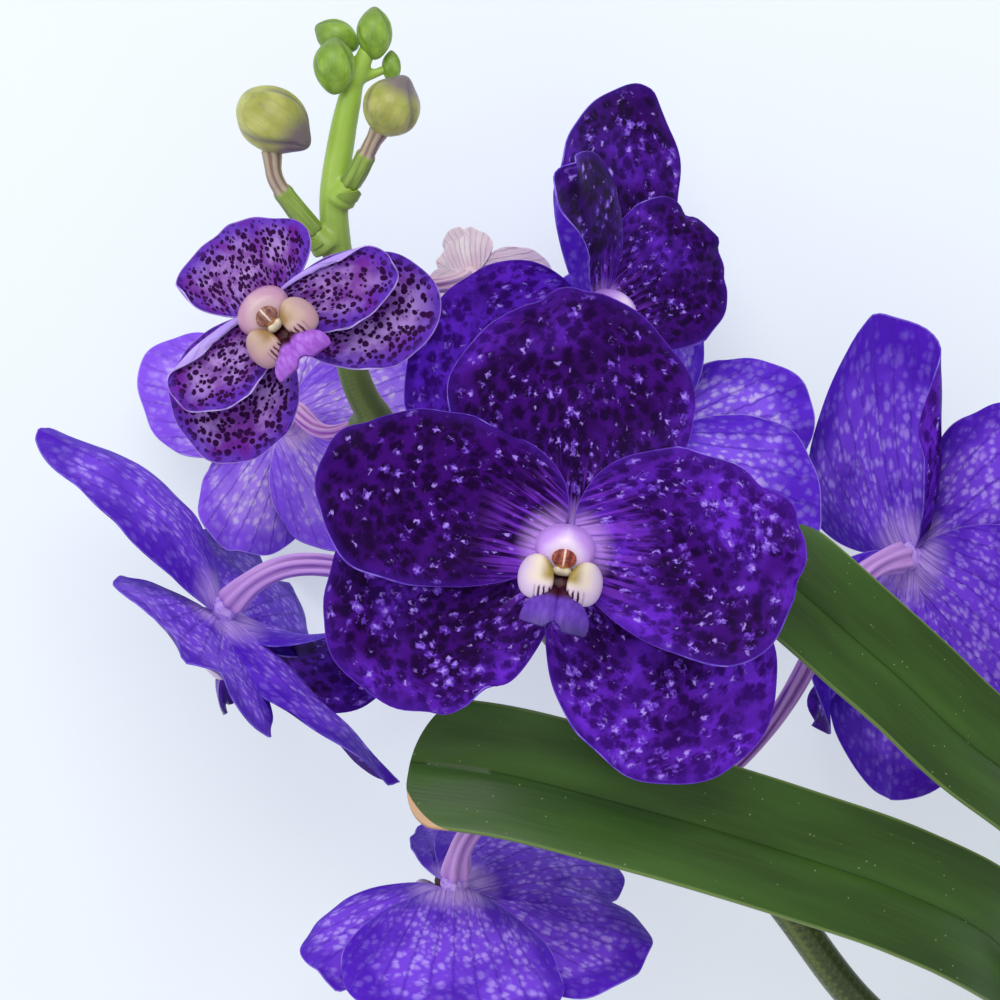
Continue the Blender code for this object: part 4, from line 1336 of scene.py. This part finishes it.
# %% Finishes of the buds
def bud_finish(name, skin, light, blush, amount):
    recipe = Recipe(name, 0.36, Specular_IOR_Level=0.45)
    place = recipe.read("place")
    _, y, _ = recipe.split(place)
    cloud = recipe.noise(place, 1.3, 2.0)
    veins = recipe.noise(recipe.stretch(place, (8.0, 0.7, 8.0)), 1.0, 2.0)
    colour = recipe.mix(recipe.ramp(cloud, 0.3, 0.7), skin, light)
    colour = recipe.mix(recipe.ramp(veins, 0.5, 0.7, 0.0, 0.22), colour, blush)
    ahead = recipe.maths("ADD", y, recipe.times(cloud, 0.5))
    colour = recipe.mix(recipe.ramp(ahead, 0.55, 1.25, 0.0, amount), colour, blush)
    seam = recipe.read_number("seam")
    colour = recipe.mix(recipe.times(seam, 0.5 * amount + 0.15), colour, blush)
    recipe.relief(veins, 0.10)
    return recipe.paint(colour)


RIPE_BUD = bud_finish("bud yellow green", shade("9a9e48"), shade("bcbe68"), shade("6a5a6a"), 0.9)
GREEN_BUD = bud_finish("bud fresh green", shade("74982e"), shade("98bc46"), shade("46582a"), 0.55)


def bud_stalk_finish(name):
    recipe = Recipe(name, 0.4, Specular_IOR_Level=0.45)
    grain = recipe.read("grain")
    streaks = recipe.noise(recipe.stretch(grain, (1.0, 1.0, 0.06)), 1.0, 3.0)
    rib = recipe.maths("ADD", recipe.read_number("rib"), recipe.ramp(streaks, 0.3, 0.7, -0.4, 0.4))
    neck = recipe.mix(recipe.ramp(rib, -0.8, 0.5), shade("86705c"), shade("b8a690"))
    green = recipe.mix(recipe.ramp(streaks, 0.35, 0.7), shade("6f8c30"), shade("9cb850"))
    colour = recipe.mix(recipe.ramp(recipe.read_number("share"), 0.50, 0.56), green, neck)
    return recipe.paint(colour)


BUD_STALK = bud_stalk_finish("bud stalk")
print("bud finishes ready")

# %% Buds and their stalks
BUD_STALK_RADII = [0, 0.2, 0.46, 0.52, 0.56, 0.8, 1], [2.5, 2.4, 2.2, 2.3, 1.8, 1.85, 2.3]  # shares, mm
for name, facts in BUDS.items():
    large = "stalk_knots" in facts
    bpy.ops.mesh.primitive_uv_sphere_add(segments=60, ring_count=40, radius=1, rotation=(math.pi / 2, 0, 0))
    bpy.ops.object.transform_apply(location=False, rotation=True, scale=False)
    bud = name_piece(name + "_skin")
    points = points_of(bud)
    x, y, z = points.T
    turn = np.arctan2(x, z)
    polar = np.hypot(x, z)
    lean = (turn + 0.5 * y) % (2 * math.pi / 3) - math.pi / 3
    seam = np.exp(-((lean / 0.13) ** 2)) * smooth(polar * 2.2) * smooth((y + 0.75) / 0.5)
    beak = np.exp(-((np.arccos(np.clip(y, -1, 1)) / 0.34) ** 2)) * (0.22 if large else 0.12)
    beak += np.exp(-((np.arccos(np.clip(-y, -1, 1)) / 0.5) ** 2)) * (0.05 if large else 0.16)
    pull = 1 - 0.05 * seam + 0.03 * np.exp(-(((np.abs(lean) - 0.3) / 0.16) ** 2)) * polar + beak
    note(bud, "place", points)
    note(bud, "seam", seam)
    lay_points(bud, points * pull[:, None] * np.array(facts["radii"]) * MM)
    bud.data.transform(Matrix.Translation(at(facts["centre"])) @ bud_turn(facts).to_4x4())
    dress(bud, RIPE_BUD if large else GREEN_BUD)
    smooth_faces(bud)
    settle(bud, "bud", name)
    if large:
        knots = [Vector(knot) for knot in facts["stalk_knots"]]
        knots[0] = knots[0] + (knots[1] - knots[0]).normalized() * GAP
        path = [at(on_curve(knots, step / 30)[0]) for step in range(31)]
        radii = np.interp(np.linspace(0, 1, 31), *BUD_STALK_RADII)
        stalk = roll_tube(name + "_ribbed_stalk", path, radii, around=36, ribs=6, rib=0.07, turns=0.1)
        dress(stalk, BUD_STALK)
        smooth_faces(stalk)
        settle(stalk, "bloom_stalk", name + "_stalk")
print("buds done, the last one of", count(bud), "triangles")

# %% [markdown]
# ## Leaves
#
# A vanda's leaf is a thick leathery strap, folded down its middle like a shallow gutter, and it ends in a
# blunt, slanted tip that dries to a tan scrap. A long grid is laid on its curve and thickened. Its upper
# face is a deep, fairly glossy green with fine lengthwise lines and pale specks; the lower face is lighter
# and duller.

# %% Leaf facts
LEAF_THICKNESS = 1.8
LEAF_FOLD = 14  # degrees that each half rises from the middle
LEAVES = {
    "leaf_front": dict(
        knots=[
            (121.7, -138, 8), (121, -126, 14), (115, -108, 34), (101, -91, 58), (78, -78.5, 72),
            (54, -69.5, 80), (31, -62, 84), (8.4, -55.5, 86), (-14, -50, 86), (-34.5, -47.5, 84),
        ],
        width=31, base_face=(1, 0, 0), face=(0.1, 0.25, 1), tip=0.055, slant=-0.010,
    ),
    "leaf_back": dict(
        knots=[
            (121.7, -92, 8), (121.5, -81, 15), (119, -68, 42), (109, -56, 66), (92, -43, 78), (78, -30, 83),
            (66, -19.5, 85), (54, -9, 86), (41, 2, 84),
        ],
        width=27, base_face=(1, 0, 0), face=(0.2, 0.2, 1), tip=0.1, slant=0.0,
    ),
    "leaf_right_lower": dict(
        knots=[(138.3, -132, 8), (142, -119, 18), (150, -103, 29), (164, -89, 34), (183, -81, 28)],
        width=27, base_face=(-1, 0, 0), face=(-0.1, 0.2, 1), tip=0.18, slant=0.02,
    ),
    "leaf_right_upper": dict(
        knots=[(138.3, -90, 8), (142, -77, 18), (149, -60, 30), (160, -45, 36), (174, -35, 33)],
        width=26, base_face=(-1, 0, 0), face=(-0.1, 0.2, 1), tip=0.18, slant=0.02,
    ),
}
print("leaves:", ", ".join(LEAVES))


# %% Finishes of the leaves
SCRAP_SLANT = -0.030  # how much of the leaf's length the scrap's border gains from middle to edge
SCRAP_FROM = 1.013  # where that border crosses the middle: past the tip, so only one corner is dry


def leaf_finish(name, deep, fresh, vein, roughness):
    recipe = Recipe(name, roughness, Specular_IOR_Level=0.28)
    blade = recipe.read("blade")
    across, _, share = recipe.split(blade)
    lines = recipe.noise(recipe.stretch(blade, (26.0, 0.045, 0.0)), 1.0, 3.0)
    broad = recipe.noise(recipe.stretch(blade, (1.3, 0.016, 0.0)), 1.0, 2.0)
    colour = recipe.mix(recipe.ramp(broad, 0.25, 0.75), deep, fresh)
    colour = recipe.mix(recipe.ramp(lines, 0.45, 0.75, 0.0, 0.13), colour, vein)
    side = recipe.maths("ABSOLUTE", across)
    colour = recipe.mix(recipe.ramp(side, 0.0, 0.025, 0.55, 0.0), colour, shade("22320f"))
    colour = recipe.mix(recipe.ramp(side, 0.955, 0.995, 0.0, 0.5), colour, shade("8aa05c"))
    fleck, chance = recipe.cells(recipe.stretch(blade, (14.0, 0.9, 0.0)), 0.55)
    specks = recipe.times(recipe.ramp(fleck, 0.05, 0.12, 1.0, 0.0), recipe.ramp(chance, 0.72, 0.78))
    colour = recipe.mix(recipe.times(specks, 0.6), colour, shade("a8b884"))
    slanted = recipe.maths("ADD", share, recipe.times(across, SCRAP_SLANT))
    colour = recipe.mix(recipe.ramp(slanted, SCRAP_FROM, SCRAP_FROM + 0.002), colour, shade("c9a27a"))
    recipe.relief(lines, 0.04)
    return recipe.paint(colour)


LEAF_TOP = leaf_finish("leaf top green", shade("28420f"), shade("3d6120"), shade("4c7230"), 0.36)
LEAF_UNDER = leaf_finish("leaf under green", shade("4a6630"), shade("5e7c40"), shade("708c50"), 0.5)
print("leaf finishes ready")


# %% Leaf blades
def leaf_points(facts, across, along):
    knots = [Vector(knot) for knot in facts["knots"]]
    tip = facts["tip"]
    points, shares = [], []
    for s, t in zip(across, along):
        side = math.sin(s * math.pi / 2)
        share = (1 - tip) * t + tip * t**3 * math.cos(s * math.pi / 2)
        share += facts["slant"] * side * t**6
        centre, way = on_curve(knots, share)
        spread = float(smooth((share - 0.08) / 0.3))
        face = Vector(facts["base_face"]).lerp(Vector(facts["face"]), spread)
        face = (face - way * face.dot(way)).normalized()
        fold = math.radians(LEAF_FOLD) * spread
        half = facts["width"] / 2 * (0.4 + 0.6 * spread)
        channel = -0.4 * math.exp(-((side * half / 0.7) ** 2)) * spread
        wave = 0.5 * noise.noise((share * 9, side * 1.3, facts["width"])) * spread
        height = abs(side) * half * math.sin(fold) + channel + wave
        points.append(at(centre + way.cross(face) * side * half * math.cos(fold) + face * height))
        shares.append(share)
    return [tuple(point) for point in points], np.array(shares)


for name, facts in LEAVES.items():
    blade, across, along = grid(name + "_blade", 32, 150)
    points, shares = leaf_points(facts, across, along)
    lay_points(blade, points)
    length = length_of([Vector(knot) for knot in facts["knots"]])
    note(blade, "blade", np.stack((np.sin(across * math.pi / 2), shares * length, along), axis=1))
    dress(blade, LEAF_TOP, LEAF_UNDER)
    group = blade.vertex_groups.new(name="thick")
    for index, s in enumerate(across):
        group.add([index], float(0.35 + 0.65 * math.cos(s * math.pi / 2) ** 0.5), "REPLACE")
    apply_modifier(
        blade, "SOLIDIFY", thickness=LEAF_THICKNESS * MM, offset=0, vertex_group="thick",
        material_offset=1, material_offset_rim=1,
    )
    blade.vertex_groups.clear()
    smooth_faces(blade)
    settle(blade, "leaf", name)
    print(blade.name, count(blade), "triangles")

# %% [markdown]
# ## The stem
#
# The stem isn't in the picture, so this end of the plant is a sober guess: a short cut length, wrapped in
# the sheaths of leaves that have gone. Each sheath is wider at its mouth and overlaps the next, so the
# outline steps like a bamboo cane's. It is a grid rolled round the stem's axis, with a radius that follows
# those steps, and it ends in a clean cut below.


# %% Finish of the stem
def stem_finish(name):
    recipe = Recipe(name, 0.5, Specular_IOR_Level=0.4)
    grain = recipe.read("grain")
    streaks = recipe.noise(recipe.stretch(grain, (0.8, 0.8, 0.04)), 1.0, 3.0)
    blotch = recipe.noise(grain, 0.12, 3.0)
    colour = recipe.mix(recipe.ramp(streaks, 0.35, 0.7), shade("6b7840"), shade("8f9458"))
    colour = recipe.mix(recipe.ramp(blotch, 0.5, 0.68, 0.0, 0.75), colour, shade("a08a62"))
    mouth = recipe.read_number("rib")
    colour = recipe.mix(recipe.ramp(mouth, 0.80, 1.0, 0.0, 0.8), colour, shade("7c6244"))
    colour = recipe.mix(recipe.ramp(mouth, -0.2, -0.05, 1.0, 0.0), colour, shade("c8c49a"))
    recipe.relief(streaks, 0.2)
    return recipe.paint(colour)


STEM_FINISH = stem_finish("stem sheath")
print("finish:", STEM_FINISH.name)

# %% Stem
STEM_RADIUS = 7.0
STEM_X = 130.0
STEM_TOP_Y = -68.0
STEM_CUT_Y = -170.0
STEM_LENGTH = STEM_TOP_Y - STEM_CUT_Y
STEM_AXIS_Z = STEM_RADIUS * math.cos(math.pi / 12)
SHEATHS = 7
SHEATH_SLANT = 0.10  # how much of its length a sheath's mouth rises on one side
CUT_ENDS = 0.011  # shares of the grid's rows: the cut face takes those up to here
SHEATHS_FROM = 0.03  # the sheaths' steps run from here
CROWN_FROM = 0.9  # to here, where the stem rounds off
stem, across, along = grid("sheathed_stem", 48, 180)
points, grains, mouths = [], [], []
for s, t in zip(across, along):
    turn = (s + 1) * math.pi
    inner = min(max((t - 0.02) / 0.93, 0.0), 1.0)
    side = SHEATH_SLANT * math.cos(turn)
    place = inner * SHEATHS + side
    step = place - math.floor(place)
    stepped = SHEATHS_FROM < t < CROWN_FROM
    wide = (0.86 + 0.13 * step) if stepped else 0.9
    wide = wide * (1 + 0.025 * abs(math.cos(turn)) ** 8)
    if t > CROWN_FROM:
        wide = 0.92 * math.cos((t - CROWN_FROM) / 0.1 * math.pi / 2) ** 0.6
    if t < 0.004:
        wide = 0.0
    elif t < 0.012:
        wide = 0.84
    y = STEM_CUT_Y + STEM_LENGTH * max(0.0, (t - CUT_ENDS) / (1 - CUT_ENDS))
    wide = min(wide, 0.962) * STEM_RADIUS
    points.append(at((STEM_X + wide * math.cos(turn), y, STEM_AXIS_Z + wide * math.sin(turn))))
    grains.append((wide * math.cos(turn), wide * math.sin(turn), t * STEM_LENGTH))
    mouths.append(step if stepped else (-1.0 if t < 0.012 else 0.0))
lay_points(stem, [tuple(point) for point in points])
note(stem, "grain", grains)
note(stem, "rib", mouths)
close_up(stem)
dress(stem, STEM_FINISH)
smooth_faces(stem, 45)
settle(stem, "stem", "stem")
print("stem:", count(stem), "triangles")

# %% [markdown]
# ## Taking stock
#
# Before the end we count what was added and compare the box of the finished plant with the box of the solids.

# %% Finish
print("pieces:", len(PIECES), "triangles:", sum(count(piece) for piece in PIECES))
print("largest piece:", max(count(piece) for piece in PIECES), "triangles")
finished_box = [list(corner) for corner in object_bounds()]
grown = [[round((b - a) / MM, 2) for a, b in zip(one, two)] for one, two in zip(CAD_BOX, finished_box)]
print("box grows by, in mm:", grown)
